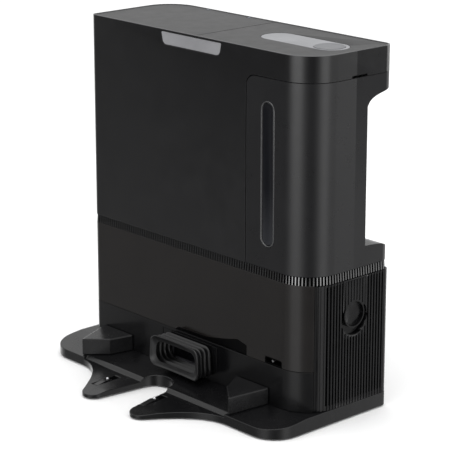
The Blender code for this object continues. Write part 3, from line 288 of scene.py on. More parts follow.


# Paler colour painted on faces of the tank and cover that look upward: painted skylight.
UPWARD_PAINTED_LIGHT = (0.028, 0.028, 0.029)
LOOKS = {
    "charcoal": plastic("charcoal_plastic", (0.0045, 0.0045, 0.0050), 0.22, spread=0.05, specular=0.40),
    "charcoal_warm": plastic("warm_charcoal_plastic", (0.0072, 0.0062, 0.0058), 0.14, spread=0.04,
                             specular=0.42, grain_height=0.000008),
    "tray_grey": plastic("tray_plastic", (0.0045, 0.0045, 0.0050), 0.25, specular=0.34, edge_wear_and_highlight=0.5),
    "ring_black": ring_plastic("ring_plastic", (0.003, 0.003, 0.0035), 0.16),
    "tab_grey": plastic("tab_plastic", (0.215, 0.215, 0.225), 0.46, edge_wear_and_highlight=0.2),
    "inlay_grey": plastic("inlay_plastic", (0.215, 0.218, 0.228), 0.42, edge_wear_and_highlight=0.15),
    "rubber": plastic("soft_rubber", (0.0055, 0.0055, 0.0060), 0.34, grain=800.0, specular=0.45, edge_wear_and_highlight=0.6),
    "gloss_black": plastic("gloss_black_plastic", (0.004, 0.004, 0.005), 0.10, spread=0.05, edge_wear_and_highlight=0.0),
    "smoked_clear": clear_plastic("smoked_plastic", (0.30, 0.36, 0.46), 0.06, 0.75),
    "steel": metal("bright_steel", (0.62, 0.62, 0.64), 0.25),
    "inner_grey": plastic("inner_plastic", (0.09, 0.09, 0.10), 0.55),
    "filter_white": fibre("filter_fibre", (0.72, 0.72, 0.69)),
    "motor_metal": metal("motor_plate", (0.40, 0.40, 0.42), 0.38, (1.0, 1.0, 8.0)),
    "board_green": board("circuit_board_mask"),
    "hose_clear": clear_plastic("hose_silicone", (0.75, 0.78, 0.80), 0.25, 0.5),
}

# Tank and cover carry painted skylight on upward faces; cover and rear cover carry a painted highlight along
# their top rim.
TANK_LOOK = plastic("tank_plastic", (0.0062, 0.0062, 0.0070), 0.29, spread=0.06, edge_wear_and_highlight=0.0, specular=0.42,
                    matt_from=0.070)
COVER_LOOK = plastic("cover_plastic", (0.0045, 0.0045, 0.0050), 0.22, spread=0.05, specular=0.40,
                     matt_from=0.070, painted_rim_highlight_above=cover_high.z - 0.0005)
REAR_LOOK = plastic("rear_cover_plastic", (0.0045, 0.0045, 0.0050), 0.22, spread=0.05, specular=0.40,
                    painted_rim_highlight_above=cover_high.z - 0.0005)
DOOR_LOOK = plastic("door_plastic", (0.0022, 0.0022, 0.0026), 0.24, spread=0.05, specular=0.24)
# Near-black filter behind the door's slots: painted shade, so that the slots read as dark hollows.
FILTER_PAINTED_SHADE_LOOK = fibre("filter_fibre_painted_shade", (0.005, 0.005, 0.006))
PLATE_LOOK = plastic("top_plate_plastic", (0.0040, 0.0040, 0.0046), 0.32, spread=0.06, specular=0.28,
                     edge_wear_and_highlight=0.6)
BASE_LOOK = plastic("base_panel_plastic", (0.0030, 0.0030, 0.0034), 0.19, spread=0.05, specular=0.30,
                    edge_wear_and_highlight=0.4)
SENSOR_LOOK = plastic("sensor_plastic", (0.0010, 0.0010, 0.0012), 0.35, specular=0.08, edge_wear_and_highlight=0.0)
BEZEL_LOOK = plastic("bezel_plastic", (0.0120, 0.0120, 0.0132), 0.20, spread=0.05, specular=0.95)
BUTTON_LOOK = plastic("button_plastic", (0.125, 0.127, 0.135), 0.38, edge_wear_and_highlight=0.3)
OTHER_LOOKS = {
    "control_button": BUTTON_LOOK, "water_tank": TANK_LOOK, "front_cover": COVER_LOOK,
    "rear_cover": REAR_LOOK, "side_grille": DOOR_LOOK, "filter_latch": DOOR_LOOK, "hepa_filter": FILTER_PAINTED_SHADE_LOOK,
    "bin_lid": PLATE_LOOK, "control_deck": PLATE_LOOK, "base_front_panel": BASE_LOOK,
    "port_panel": BASE_LOOK, "sensor_window": SENSOR_LOOK, "nozzle_pocket": SENSOR_LOOK,
}

slot_of = {item["node"]: item["material_slot"] for item in frame["record"]["subparts"]}
body_of = {node: body for body, members in frame["record"]["behaviour"]["bodies"].items() for node in members}

for name, obj in NODES.items():
    obj.data.materials.clear()
    obj.data.materials.append(OTHER_LOOKS.get(name) or LOOKS[slot_of[name]])


# ------------------------------------------------------------------ mesh helpers

def finish_mesh(name, bm, body, look, nodes=(), angle=35.0):
    """Turns a bmesh into a piece that rides on a body and stands for CAD nodes."""
    bmesh.ops.recalc_face_normals(bm, faces=bm.faces)
    mesh = bpy.data.meshes.new(name)
    bm.to_mesh(mesh)
    bm.free()
    mesh.materials.append(look if not isinstance(look, str) else LOOKS[look])
    mesh.shade_smooth()
    mesh.set_sharp_from_angle(angle=math.radians(angle))
    obj = bpy.data.objects.new(name, mesh)
    bpy.context.scene.collection.objects.link(obj)
    if body:
        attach(obj, body)
    if nodes:
        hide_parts(*nodes)
    return obj


def detailed(node, width=0.0006, segments=2, angle=30.0, look=None, dissolve=0.6):
    """A copy of a CAD node with its flat faces joined again and its edges rounded."""
    bm = bmesh.new()
    bm.from_mesh(NODES[node].data)
    bmesh.ops.remove_doubles(bm, verts=bm.verts, dist=0.000004)
    bmesh.ops.dissolve_limit(bm, angle_limit=math.radians(dissolve), verts=bm.verts, edges=bm.edges)
    obj = finish_mesh(node + "_detail", bm, body_of[node], look or slot_of[node], (node,), angle)
    if width:
        bevel = obj.modifiers.new("rounded_edges", "BEVEL")
        bevel.width = width
        bevel.segments = segments
        bevel.limit_method = "ANGLE"
        bevel.angle_limit = math.radians(angle)
        bevel.use_clamp_overlap = True
        bevel.harden_normals = True
    return obj


def rounded_path(corners, radii, step):
    """Points with outward normals along a closed rounded rectangle, about step apart."""
    count = len(corners)
    spots = []
    for i in range(count):
        before, corner, after = (Vector(corners[(i + k) % count]) for k in (-1, 0, 1))
        into, out = (corner - before).normalized(), (after - corner).normalized()
        inward = Vector((-into.y, into.x))
        start = corner - into * radii[i]
        centre = start + inward * radii[i]
        bend = max(int(radii[i] * math.pi / 2 / step), 3)
        for k in range(bend):
            turn = math.pi / 2 * k / bend
            normal = -inward * math.cos(turn) + into * math.sin(turn)
            spots.append((centre + normal * radii[i], normal))
        begin = corner + out * radii[i]
        end = after - out * radii[(i + 1) % count]
        outward = Vector((out.y, -out.x))
        run = max(int((end - begin).length / step), 1)
        for k in range(run):
            spots.append((begin.lerp(end, k / run), outward))
    return spots


def loft(bm, sections, close=False):
    """Faces between closed rings of points; close also joins the last ring to the first."""
    rings = [[bm.verts.new(point) for point in section] for section in sections]
    pairs = list(zip(rings, rings[1:])) + ([(rings[-1], rings[0])] if close else [])
    for lower, upper in pairs:
        count = len(lower)
        for i in range(count):
            j = (i + 1) % count
            bm.faces.new((lower[i], lower[j], upper[j], upper[i]))
    return rings


def turned(name, profile, centre, body, look, nodes=(), axis="Z", steps=64, angle=35.0):
    """A turned piece from a profile of (radius, height) along an axis; radius 0 closes an end."""
    turn = {"Z": Matrix.Identity(3), "X": Matrix.Rotation(math.pi / 2, 3, "Y"),
            "Y": Matrix.Rotation(-math.pi / 2, 3, "X")}[axis]
    bm = bmesh.new()
    rings = []
    for radius, height in profile:
        if radius == 0:
            rings.append([bm.verts.new(turn @ Vector((0, 0, height)) + Vector(centre))])
            continue
        ring = []
        for i in range(steps):
            t = 2 * math.pi * i / steps
            spot = Vector((radius * math.cos(t), radius * math.sin(t), height))
            ring.append(bm.verts.new(turn @ spot + Vector(centre)))
        rings.append(ring)
    pairs = list(zip(rings, rings[1:]))
    if profile[0][0] != 0:
        pairs.append((rings[-1], rings[0]))
    for lower, upper in pairs:
        for i in range(steps):
            j = (i + 1) % steps
            if len(lower) == 1:
                bm.faces.new((lower[0], upper[i], upper[j]))
            elif len(upper) == 1:
                bm.faces.new((lower[i], upper[0], lower[j]))
            else:
                bm.faces.new((lower[i], lower[j], upper[j], upper[i]))
    return finish_mesh(name, bm, body, look, nodes, angle)


def tool_from(name, bm):
    """A helper object from a closed bmesh, for carve to use up."""
    bmesh.ops.recalc_face_normals(bm, faces=bm.faces)
    mesh = bpy.data.meshes.new(name)
    bm.to_mesh(mesh)
    bm.free()
    obj = bpy.data.objects.new(name, mesh)
    bpy.context.scene.collection.objects.link(obj)
    return obj


def cutter(name, boxes_turned):
    """Boxes for cutting, each given by its centre, size and turn about Z."""
    bm = bmesh.new()
    for centre, size, turn in boxes_turned:
        made = bmesh.ops.create_cube(bm, size=1.0)["verts"]
        bmesh.ops.scale(bm, vec=size, verts=made)
        bmesh.ops.rotate(bm, cent=(0, 0, 0), matrix=Matrix.Rotation(turn, 3, "Z"), verts=made)
        bmesh.ops.translate(bm, vec=centre, verts=made)
    return tool_from(name, bm)


def carve(obj, tool, operation="DIFFERENCE"):
    """Cuts a piece with a tool, keeps the result in its mesh and removes the tool."""
    kept = [m for m in obj.modifiers]
    for modifier in kept:
        modifier.show_viewport = False
    change = obj.modifiers.new("carve", "BOOLEAN")
    change.operation = operation
    change.solver = "EXACT"
    change.object = tool
    bpy.context.view_layer.update()
    graph = bpy.context.evaluated_depsgraph_get()
    made = bpy.data.meshes.new_from_object(obj.evaluated_get(graph))
    obj.modifiers.remove(change)
    for modifier in kept:
        modifier.show_viewport = True
    old = obj.data
    obj.data = made
    bpy.data.meshes.remove(old)
    obj.data.shade_smooth()
    obj.data.set_sharp_from_angle(angle=math.radians(35.0))
    bpy.data.objects.remove(tool, do_unlink=True)


# ------------------------------------------------------------------ covers, panels, tank and tray

WIDE_EDGES = {
    "front_cover": 0.0013, "rear_cover": 0.0010, "lower_rear_shell": 0.0006, "base_front_panel": 0.0004,
    "mid_front_panel": 0.0004, "bin_lid": 0.0005, "control_deck": 0.0005, "water_tank": 0.0016,
    "base_tray": 0.0014, "release_tab": 0.0005, "port_panel": 0.0004,
    "contact_lever_left": 0.0004, "contact_lever_right": 0.0004,
    "bottom_cover": 0.0005, "intake_duct": 0.0005, "inner_frame": 0.0006, "dust_bin": 0.0005,
    "nozzle_pocket": 0.0002, "mains_inlet": 0.0004, "status_inlay": 0.0003, "sensor_window": 0.0003,
    "tank_cap": 0.0005, "port_flap": 0.0003, "impeller": 0.0002, "power_supply": 0.0010,
    "circuit_board": 0.0003, "control_board": 0.0003, "motor_housing": 0.0008, "suction_motor": 0.0006,
}

def shelf_height(y):
    """Height of the CAD ledge under the finger notch at a depth y."""
    curve = interpolate_bezier(Vector((0.0904, 0.2395)), Vector((0.1050, 0.2350)), Vector((0.1260, 0.2280)),
                               Vector((BACK + 0.002, 0.2080)), 40)
    for near, far in zip(curve, curve[1:]):
        if near.x <= y <= far.x:
            return near.y + (far.y - near.y) * (y - near.x) / (far.x - near.x)
    return curve[0].y if y < curve[0].x else curve[-1].y


def soften_shelf(obj):
    """Levels the ledge that the tank's finger notch leaves, and rounds its outer edge."""
    bm = bmesh.new()
    bm.from_mesh(obj.data)
    for vertex in bm.verts:
        x, y, z = vertex.co
        drop = shelf_height(y) - z
        if x > RIGHT - 0.0655 and y > 0.0870 and -0.0003 < drop < 0.0040:
            back = max(y - 0.0904, 0.0)
            bend = max(y - 0.1150, 0.0) / 0.0205
            vertex.co.z = SHELF_TOP - 0.080 * back - 0.0075 * bend ** 2 - drop
    bm.normal_update()
    chosen = []
    for edge in bm.edges:
        middle = (edge.verts[0].co + edge.verts[1].co) / 2
        if len(edge.link_faces) != 2 or middle.x < RIGHT - 0.05 or middle.y < 0.0915 or middle.z > 0.2400:
            continue
        flat, steep = sorted((abs(f.normal.z) for f in edge.link_faces))
        if flat < 0.1 and steep > 0.3 and middle.z > ring_high.z + 0.008:
            chosen.append(edge)
    bmesh.ops.bevel(bm, geom=chosen, offset=0.0060, offset_type="OFFSET", segments=5, profile=0.5,
                    affect="EDGES", clamp_overlap=True)
    bm.to_mesh(obj.data)
    bm.free()
    obj.data.shade_smooth()
    obj.data.set_sharp_from_angle(angle=math.radians(35.0))
    even = obj.modifiers.new("even_normals", "WEIGHTED_NORMAL")
    even.keep_sharp = True
    even.weight = 100


def widen_seam(obj):
    """Draws the tank's left edge and its arch in, so that the seam beside them reads as a clear line."""
    centre = Vector((tank_low.x + ARCH_RADIUS, tank_high.z - ARCH_RADIUS + 0.0003))
    for vertex in obj.data.vertices:
        off = Vector((vertex.co.x, vertex.co.z)) - centre
        if off.x < 0.0 < off.y and off.length > ARCH_RADIUS - 0.0015:
            off *= (off.length - SEAM_EXTRA) / off.length
            vertex.co.x, vertex.co.z = centre.x + off.x, centre.y + off.y
        elif off.y <= 0.0 and vertex.co.x < tank_low.x + 0.0004:
            vertex.co.x += SEAM_EXTRA


SHELF_TOP = 0.2225
ARCH_RADIUS = 0.0162
SEAM_EXTRA = 0.0007

for node, width in WIDE_EDGES.items():
    detailed(node, width, 3 if width > 0.0005 else 2, look=OTHER_LOOKS.get(node))


widen_seam(bpy.data.objects["water_tank_detail"])
soften_shelf(bpy.data.objects["water_tank_detail"])

# The guide blocks' edges are already rounded in the CAD, so their faces stay flat.
for side in ("left", "right"):
    detailed("guide_block_" + side, 0.0, angle=12.0)


# ------------------------------------------------------------------ ribbed ring

def build_ring():
    """A band of upright ribs that lean out towards its foot."""
    body_left, body_front = ring_low.x - 0.0002, FRONT
    corners = [(body_left, body_front), (RIGHT, body_front), (RIGHT, BACK), (body_left, BACK)]
    samples = len(RIB_PROFILE)
    path = rounded_path(corners, RADII, RIB_PITCH / samples)
    bm = bmesh.new()
    low, high = ring_low.z, ring_high.z
    levels = ((0.0, 0.0), (0.10, 0.0), (0.55, 0.05), (0.92, 0.25), (1.0, 1.0))
    sections = []
    for height, fade in levels:
        ring = []
        for i, (point, normal) in enumerate(path):
            lean = 0.0003 + 0.0007 * height
            inset = lean + RIB_PROFILE[i % samples] * (1 - 0.75 * fade)
            spot = point - normal * inset
            ring.append((spot.x, spot.y, low + (high - low) * height))
        sections.append(ring)
    inside = [[(p.x - n.x * 0.0044, p.y - n.y * 0.0044, z) for p, n in path] for z in (high, low)]
    loft(bm, sections + inside, close=True)
    ring = finish_mesh("ribbed_ring_detail", bm, "base", "ring_black", ("ribbed_ring",), 25.0)
    # The crest attribute marks the ribs' crests, for the painted shade in the gaps between them.
    crest = ring.data.attributes.new("crest", "FLOAT", "FACE")
    outer_faces = (len(levels) - 1) * len(path)
    for index, value in enumerate(crest.data):
        step = index % len(path) % samples
        value.value = 1.0 if index < outer_faces and step in CREST_FACES else 0.0


RIB_PITCH = 0.0045
RIB_PROFILE = (0.00010, 0.0, 0.0, 0.00010, 0.0026, 0.0031, 0.0031, 0.0026)
CREST_FACES = (0, 1, 2)
build_ring()


# ------------------------------------------------------------------ slotted side door and its latch

SLOT_PITCH = 0.00505
FIRST_SLOT_Y = 0.0270
KNOB_Y = (latch_low.y + latch_high.y) / 2
DISH_Z, DISH_RADIUS = 0.1330, 0.0238


def groove_at(y, low, high, depth=0.0009, width=0.0024):
    """A shallow upright groove in the door's skin, which bends round the front corner before y = split."""
    centre_x, split = RIGHT - RADII[1], FRONT + RADII[1]
    if y >= split:
        spot, turn = Vector((RIGHT - 0.0002, y)), 0.0
    else:
        turn = -(split - y) / RADII[1]
        out = Vector((math.cos(turn), math.sin(turn)))
        spot = Vector((centre_x, split)) + out * (RADII[1] - 0.0002)
    return ((spot.x, spot.y, (low + high) / 2), (2 * depth, width, high - low), turn)


def add_cup_rim(latch):
    """A raised rim round the latch's finger cup, and the cup's hollow cut through the plate above it."""
    turns = [2 * math.pi * i / 56 for i in range(56)]
    profile = ((CUP_RADIUS - 0.0016, -0.0008), (CUP_RADIUS, -0.0008), (CUP_RADIUS, 0.0002),
               (CUP_RADIUS - 0.0005, 0.0006), (CUP_RADIUS - 0.0011, 0.0006), (CUP_RADIUS - 0.0016, 0.0001))
    centre = Vector((latch_high.x - 0.0006, KNOB_Y, CUP_Z))
    bm = bmesh.new()
    rings = [[centre + Vector((height, radius * math.cos(t), radius * math.sin(t))) for t in turns]
             for radius, height in profile]
    loft(bm, rings, close=True)
    carve(latch, tool_from("cup_rim", bm), "UNION")

    hollow = CUP_RADIUS - 0.0017
    bm = bmesh.new()
    ends = [[(x, KNOB_Y + hollow * math.cos(t), CUP_Z + hollow * math.sin(t)) for t in turns]
            for x in (latch_high.x - 0.0046, latch_high.x + 0.0100)]
    for ring in loft(bm, ends):
        bm.faces.new(ring)
    carve(latch, tool_from("cup_hollow", bm))


CUP_Z = 0.1375
CUP_RADIUS = 0.0176


def build_door():
    """The slotted door and its latch, with shallow grooves between the slots."""
    door = detailed("side_grille", 0.0, look=DOOR_LOOK)
    cuts = []
    for k in range(-4, 20):
        y = FIRST_SLOT_Y + SLOT_PITCH * k
        off = abs(y - KNOB_Y)
        if off < 0.0200:
            top = DISH_Z - math.sqrt(DISH_RADIUS ** 2 - off ** 2) - 0.0006
            cuts.append(groove_at(y, door_low.z - 0.001, top))
        else:
            cuts.append(groove_at(y, door_low.z - 0.001, door_high.z + 0.001))
    carve(door, cutter("grooves", cuts))
    bevel = door.modifiers.new("rounded_edges", "BEVEL")
    bevel.width = 0.00025
    bevel.segments = 1
    bevel.limit_method = "ANGLE"
    bevel.angle_limit = math.radians(50.0)
    bevel.harden_normals = True

    latch = detailed("filter_latch", 0.0, look=DOOR_LOOK)
    cuts = []
    for k in range(6, 13):
        y = FIRST_SLOT_Y + SLOT_PITCH * k
        if abs(y - KNOB_Y) < 0.0175:
            foot = CUP_Z + math.sqrt((CUP_RADIUS + 0.0006) ** 2 - (y - KNOB_Y) ** 2)
            cuts.append(((latch_high.x, y, (foot + 0.1860) / 2), (0.0020, 0.0022, 0.1860 - foot), 0.0))
    carve(latch, cutter("latch_grooves", cuts))
    add_cup_rim(latch)
    bevel = latch.modifiers.new("rounded_edges", "BEVEL")
    bevel.width = 0.0003
    bevel.segments = 2
    bevel.limit_method = "ANGLE"
    bevel.angle_limit = math.radians(40.0)
    bevel.harden_normals = True


build_door()


# ------------------------------------------------------------------ evacuation port

PORT_X = 0.006
PORT_Z = 0.0470


def port_ring(half_width, half_height, y, bow=0.0, radius=0.0105, steps=9):
    """The port's rounded outline at a depth y; bow brings its two ends forward."""
    low, high = PORT_Z - half_height, PORT_Z + half_height
    corners = [(PORT_X - half_width, low), (PORT_X + half_width, low),
               (PORT_X + half_width - 0.003, high), (PORT_X - half_width + 0.003, high)]
    ring = []
    for i, corner in enumerate(corners):
        before, here, after = Vector(corners[i - 1]), Vector(corner), Vector(corners[(i + 1) % 4])
        to_before, to_after = (before - here).normalized(), (after - here).normalized()
        half = to_before.angle(to_after) / 2
        centre = here + (to_before + to_after).normalized() * radius / math.sin(half)
        start = here + to_before * radius / math.tan(half) - centre
        end = here + to_after * radius / math.tan(half) - centre
        sweep = start.angle_signed(end)
        for k in range(steps + 1):
            spun = start.copy()
            spun.rotate(Matrix.Rotation(-sweep * k / steps, 2))
            spot = centre + spun
            ring.append(spot)
        span = 6 if i % 2 == 0 else 3
        next_corner = Vector(corners[(i + 1) % 4])
        for k in range(1, span):
            tip = next_corner + (here - next_corner).normalized() * radius
            ring.append((centre + end).lerp(tip, k / span))
    points = []
    for spot in ring:
        lift = bow * ((spot.x - PORT_X) / half_width) ** 2
        points.append((spot.x, y - lift, spot.y))
    return points


def build_port():
    """The port's folded bellows, from its base to its lip."""
    low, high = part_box("port_bellows")
    back, front = high.y, low.y
    folds, per_fold = 3, 10
    outer, inner = [], []
    for i in range(folds * per_fold + 1):
        t = i / per_fold
        wave = abs(math.sin(math.pi * t)) ** 1.3
        y = back + (front - back) * i / (folds * per_fold)
        outer.append(port_ring(0.0425 + 0.0048 * wave, 0.0160 + 0.0048 * wave, y))
        inner.append(port_ring(0.0407 + 0.0048 * wave, 0.0142 + 0.0048 * wave, y))
    bm = bmesh.new()
    loft(bm, outer + inner[::-1], close=True)
    bellows = finish_mesh("port_bellows_detail", bm, None, "rubber", (), 60.0)
    return bellows


def build_lip():
    """The port's rounded rubber lip, which bows forward at its two ends."""
    low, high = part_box("port_lip")
    back = high.y
    profile = ((0.0408, 0.0148, 0.0, 0.0), (0.0478, 0.0205, 0.0, 0.0), (0.0487, 0.0211, 0.0004, 0.5),
               (0.0490, 0.0213, 0.0012, 0.9), (0.0487, 0.0211, 0.0021, 1.0), (0.0480, 0.0206, 0.0024, 1.0),
               (0.0472, 0.0200, 0.0021, 1.0), (0.0462, 0.0191, 0.0013, 0.9), (0.0440, 0.0174, 0.0008, 0.6),
               (0.0402, 0.0142, 0.0004, 0.3))
    bm = bmesh.new()
    loft(bm, [port_ring(w, h, back - y, 0.0030 * bow) for w, h, y, bow in profile], close=True)
    finish_mesh("port_lip_detail", bm, "lip", "rubber", ("port_lip",), 60.0)


build_lip()
bellows = build_port()


# ------------------------------------------------------------------ water window, inlay, button

def stadium(centre, half_length, radius, steps=20):
    """A slot outline about a centre, long in its second direction."""
    points = []
    for sign, start in ((1, 0.0), (-1, math.pi)):
        for i in range(steps + 1):
            t = start + math.pi * i / steps
            across, along = radius * math.cos(t), sign * half_length + radius * math.sin(t)
            points.append((centre[0] + across, centre[1] + along))
    return points


def build_window():
    """The tank's long window and the raised bezel round it."""
    low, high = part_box("tank_window_bezel")
    centre = ((low.x + high.x) / 2, (low.z + high.z) / 2)
    half = (high.z - low.z) / 2 - (high.x - low.x) / 2
    outer = (high.x - low.x) / 2
    profile = ((outer, 0.0020), (outer, 0.0008), (outer - 0.0003, 0.0002), (outer - 0.0009, 0.0),
               (outer - 0.0016, 0.0002), (outer - 0.0021, 0.0009), (outer - 0.0024, 0.0020),
               (outer - 0.0024, 0.0026))
    bm = bmesh.new()
    sections = [[(x, low.y + y, z) for x, z in stadium(centre, half, radius)] for radius, y in profile]
    loft(bm, sections, close=True)
    finish_mesh("tank_window_bezel_detail", bm, "tank", BEZEL_LOOK, ("tank_window_bezel",), 60.0)

    low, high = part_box("tank_window")
    outer = (high.x - low.x) / 2
    profile = ((outer, high.y), (outer, low.y + 0.0006), (outer - 0.0006, low.y + 0.0001),
               (outer - 0.0016, low.y), (outer - 0.0045, low.y + 0.0004))
    bm = bmesh.new()
    rings = loft(bm, [[(x, y, z) for x, z in stadium(centre, half, radius)] for radius, y in profile])
    bm.faces.new(rings[0])
    bm.faces.new(rings[-1])
    finish_mesh("tank_window_detail", bm, "tank", WINDOW_LOOK, ("tank_window",), 40.0)


def window_material():
    """Deep blue-black clear plastic, paler towards its foot where the water shows."""
    material, tree, shader = nodes_of("window_plastic")
    coords = add_node(tree, "ShaderNodeTexCoord").outputs["Object"]
    split = add_node(tree, "ShaderNodeSeparateXYZ")
    tree.links.new(coords, split.inputs[0])
    level = ramp(tree, split.outputs["Z"], 0.225, 0.300, 1.0, 0.0)
    base = mix_colours(tree, level, (0.0030, 0.0033, 0.0050), (0.0200, 0.0210, 0.0240))
    tree.links.new(base, shader.inputs["Base Color"])
    smear = noise(tree, coords, 80.0, 5.0, 0.65)
    tree.links.new(ramp(tree, smear, 0.3, 0.7, 0.05, 0.11), shader.inputs["Roughness"])
    shader.inputs["Specular IOR Level"].default_value = 0.26
    return material


WINDOW_LOOK = window_material()
build_window()

button_middle = (button_low + button_high) / 2
button_radius = (button_high.x - button_low.x) / 2
DECK_Z = inlay_high.z + 0.0001


def build_button():
    """The round button, with a raised edge and a shallow dish."""
    stem = button_low.z - DECK_Z
    profile = [(0, stem), (0.0030, stem), (0.0030, -0.0013), (button_radius - 0.0004, -0.0013),
               (button_radius, -0.0009), (button_radius, 0.0000), (button_radius - 0.0003, 0.0005),
               (button_radius - 0.0009, 0.0008), (button_radius - 0.0016, 0.0006),
               (button_radius - 0.0030, -0.0002), (button_radius - 0.0050, -0.0006),
               (button_radius - 0.0100, -0.0009), (0.0040, -0.0011), (0, -0.00115)]
    turned("control_button_detail", profile, (button_middle.x, button_middle.y, DECK_Z), "button",
           BUTTON_LOOK, ("control_button",), steps=72, angle=50.0)


build_button()


# ------------------------------------------------------------------ springs

def build_spring(node):
    """A copy of a CAD coil spring with a mesh of its own."""
    coil = detailed(node, 0.0, angle=60.0)
    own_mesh(coil)


build_spring("button_spring")
build_spring("valve_spring")


# ------------------------------------------------------------------ charging contacts

def build_contacts():
    """The two metal beads that the robot charges from."""
    for side in ("left", "right"):
        low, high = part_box("charging_contact_" + side)
        middle = (low + high) / 2
        radius = (high.x - low.x) / 2
        foot = low.z
        profile = [(0, foot), (0.0021, foot), (0.0021, high.z - 0.0022), (radius, high.z - 0.0021),
                   (radius, high.z - 0.0015), (0.0020, high.z - 0.0009), (0.0014, high.z - 0.0004),
                   (0.0007, high.z - 0.0001), (0, high.z)]
        turned("charging_contact_" + side + "_detail", profile, (middle.x, middle.y, 0), "contact_" + side,
               "steel", ("charging_contact_" + side,), steps=32, angle=50.0)


build_contacts()


# ------------------------------------------------------------------ stage, light, camera

def place_floor():
    bm = bmesh.new()
    bmesh.ops.create_grid(bm, x_segments=1, y_segments=1, size=12.0)
    mesh = bpy.data.meshes.new("floor")
    bm.to_mesh(mesh)
    bm.free()
    floor = bpy.data.objects.new("floor", mesh)
    bpy.context.scene.collection.objects.link(floor)
    material, tree, shader = nodes_of("pale_floor")
    shader.inputs["Base Color"].default_value = (0.90, 0.90, 0.90, 1.0)
    shader.inputs["Roughness"].default_value = 0.8
    shader.inputs["Specular IOR Level"].default_value = 0.1
    mesh.materials.append(material)
    floor.visible_glossy = False


def place_light(name, position, target, size, power, tall=None):
    data = bpy.data.lights.new(name, "AREA")
    data.shape = "RECTANGLE"
    data.size = size
    data.size_y = tall or size
    data.energy = power
    obj = bpy.data.objects.new(name, data)
    obj.location = position
    obj.rotation_euler = (Vector(target) - Vector(position)).to_track_quat("-Z", "Y").to_euler()
    bpy.context.scene.collection.objects.link(obj)
    return obj


def place_camera():
    data = bpy.data.cameras.new("camera")
    data.sensor_width = 36.0
    data.lens = 4.2606 * 36.0
    data.shift_y = -0.100
    data.clip_end = 60.0
    camera = bpy.data.objects.new("camera", data)
    azimuth, pitch = math.radians(47.709), math.radians(14.990)
    camera.location = (1.7843, -1.5631, 0.9135)
    camera.rotation_euler = (math.radians(90.0) - pitch, 0.0, azimuth)
    bpy.context.scene.collection.objects.link(camera)
    bpy.context.scene.camera = camera


def bearing_ramp(tree, bearing, stops):
    """Room brightness round the horizon, from stops of (bearing in degrees, brightness)."""
    node = add_node(tree, "ShaderNodeValToRGB")
    elements = node.color_ramp.elements
    spots = [((degrees + 180.0) / 360.0, value / ROOM_PEAK) for degrees, value in stops]
    elements[0].position, elements[-1].position = spots[0][0], spots[-1][0]
    for position, _ in spots[1:-1]:
        elements.new(position)
    for element, (position, value) in zip(sorted(elements, key=lambda e: e.position), spots):
        element.color = (value, value, value, 1.0)
    tree.links.new(bearing, node.inputs["Fac"])
    return node.outputs["Color"]


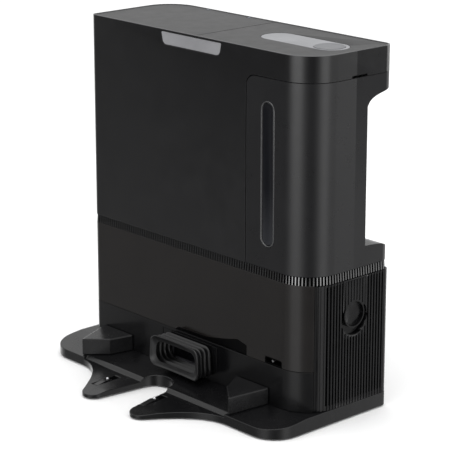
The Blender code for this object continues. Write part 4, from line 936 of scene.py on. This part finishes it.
def make_world():
    """A bright sky over a dim room with upright softboxes, seen by the camera as plain white."""
    world = bpy.data.worlds.new("studio")
    bpy.context.scene.world = world
    world.use_nodes = True
    tree = world.node_tree
    tree.nodes.clear()
    output = add_node(tree, "ShaderNodeOutputWorld")
    plain = add_node(tree, "ShaderNodeBackground")
    plain.inputs["Color"].default_value = (1.0, 1.0, 1.0, 1.0)
    plain.inputs["Strength"].default_value = 1.0
    room = add_node(tree, "ShaderNodeBackground")
    coords = add_node(tree, "ShaderNodeTexCoord").outputs["Generated"]
    split = add_node(tree, "ShaderNodeSeparateXYZ")
    tree.links.new(coords, split.inputs[0])
    ahead = add_node(tree, "ShaderNodeMath", operation="MULTIPLY")
    ahead.inputs[1].default_value = -1.0
    tree.links.new(split.outputs["Y"], ahead.inputs[0])
    angle = add_node(tree, "ShaderNodeMath", operation="ARCTAN2")
    tree.links.new(split.outputs["X"], angle.inputs[0])
    tree.links.new(ahead.outputs[0], angle.inputs[1])
    bearing = ramp(tree, angle.outputs[0], -math.pi, math.pi, 0.0, 1.0)
    low = bearing_ramp(tree, bearing, ROOM_LOW)
    high = bearing_ramp(tree, bearing, ROOM_HIGH)
    room_colour = mix_colours(tree, ramp(tree, split.outputs["Z"], -0.27, -0.19, 0.0, 1.0), low, high)
    sky = ramp(tree, split.outputs["Z"], 0.0, 0.10, 0.0, 1.0)
    ceiling = ramp(tree, split.outputs["Z"], 0.24, 0.60, 0.0, 1.0)
    sky_colour = mix_colours(tree, ceiling, (SKY_LOW / ROOM_PEAK,) * 3, (SKY_HIGH / ROOM_PEAK,) * 3)
    bright = mix_colours(tree, sky, room_colour, sky_colour)
    tree.links.new(bright, room.inputs["Color"])
    room.inputs["Strength"].default_value = ROOM_PEAK
    path = add_node(tree, "ShaderNodeLightPath")
    chosen = add_node(tree, "ShaderNodeMixShader")
    tree.links.new(path.outputs["Is Camera Ray"], chosen.inputs[0])
    tree.links.new(room.outputs[0], chosen.inputs[1])
    tree.links.new(plain.outputs[0], chosen.inputs[2])
    tree.links.new(chosen.outputs[0], output.inputs["Surface"])


ROOM_PEAK = 4.0
# Room brightness near the floor and at eye height, by bearing in degrees.
ROOM_LOW = ((-180, 0.5), (-135, 1.6), (-80, 1.1), (-62, 0.34), (-40, 0.28), (-20, 0.42), (-4, 0.95),
            (16, 1.05), (30, 0.45), (44, 0.26), (60, 0.24), (72, 0.6), (84, 1.4), (98, 1.4), (110, 0.8),
            (138, 0.70), (150, 0.8), (165, 1.2), (180, 0.5))
ROOM_HIGH = ((-180, 0.4), (-135, 1.8), (-80, 1.3), (-62, 0.26), (-44, 0.10), (-24, 0.20), (-6, 3.6),
             (14, 4.0), (28, 1.0), (40, 0.22), (58, 0.12), (70, 0.9), (82, 3.0), (96, 3.2), (108, 1.1),
             (138, 0.95), (144, 1.0), (154, 3.2), (172, 3.2), (180, 0.4))
SKY_LOW, SKY_HIGH = 0.56, 1.32
place_floor()
place_camera()
make_world()
place_light("top_softbox", (0.3, -0.3, 2.6), (0.0, 0.0, 0.2), 2.4, 25.0)
place_light("right_softbox", (2.6, 0.9, 0.9), (0.2, 0.0, 0.25), 1.4, 6.0, 1.6)
bpy.context.scene.view_settings.view_transform = "Standard"

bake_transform(bellows)
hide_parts("port_bellows")
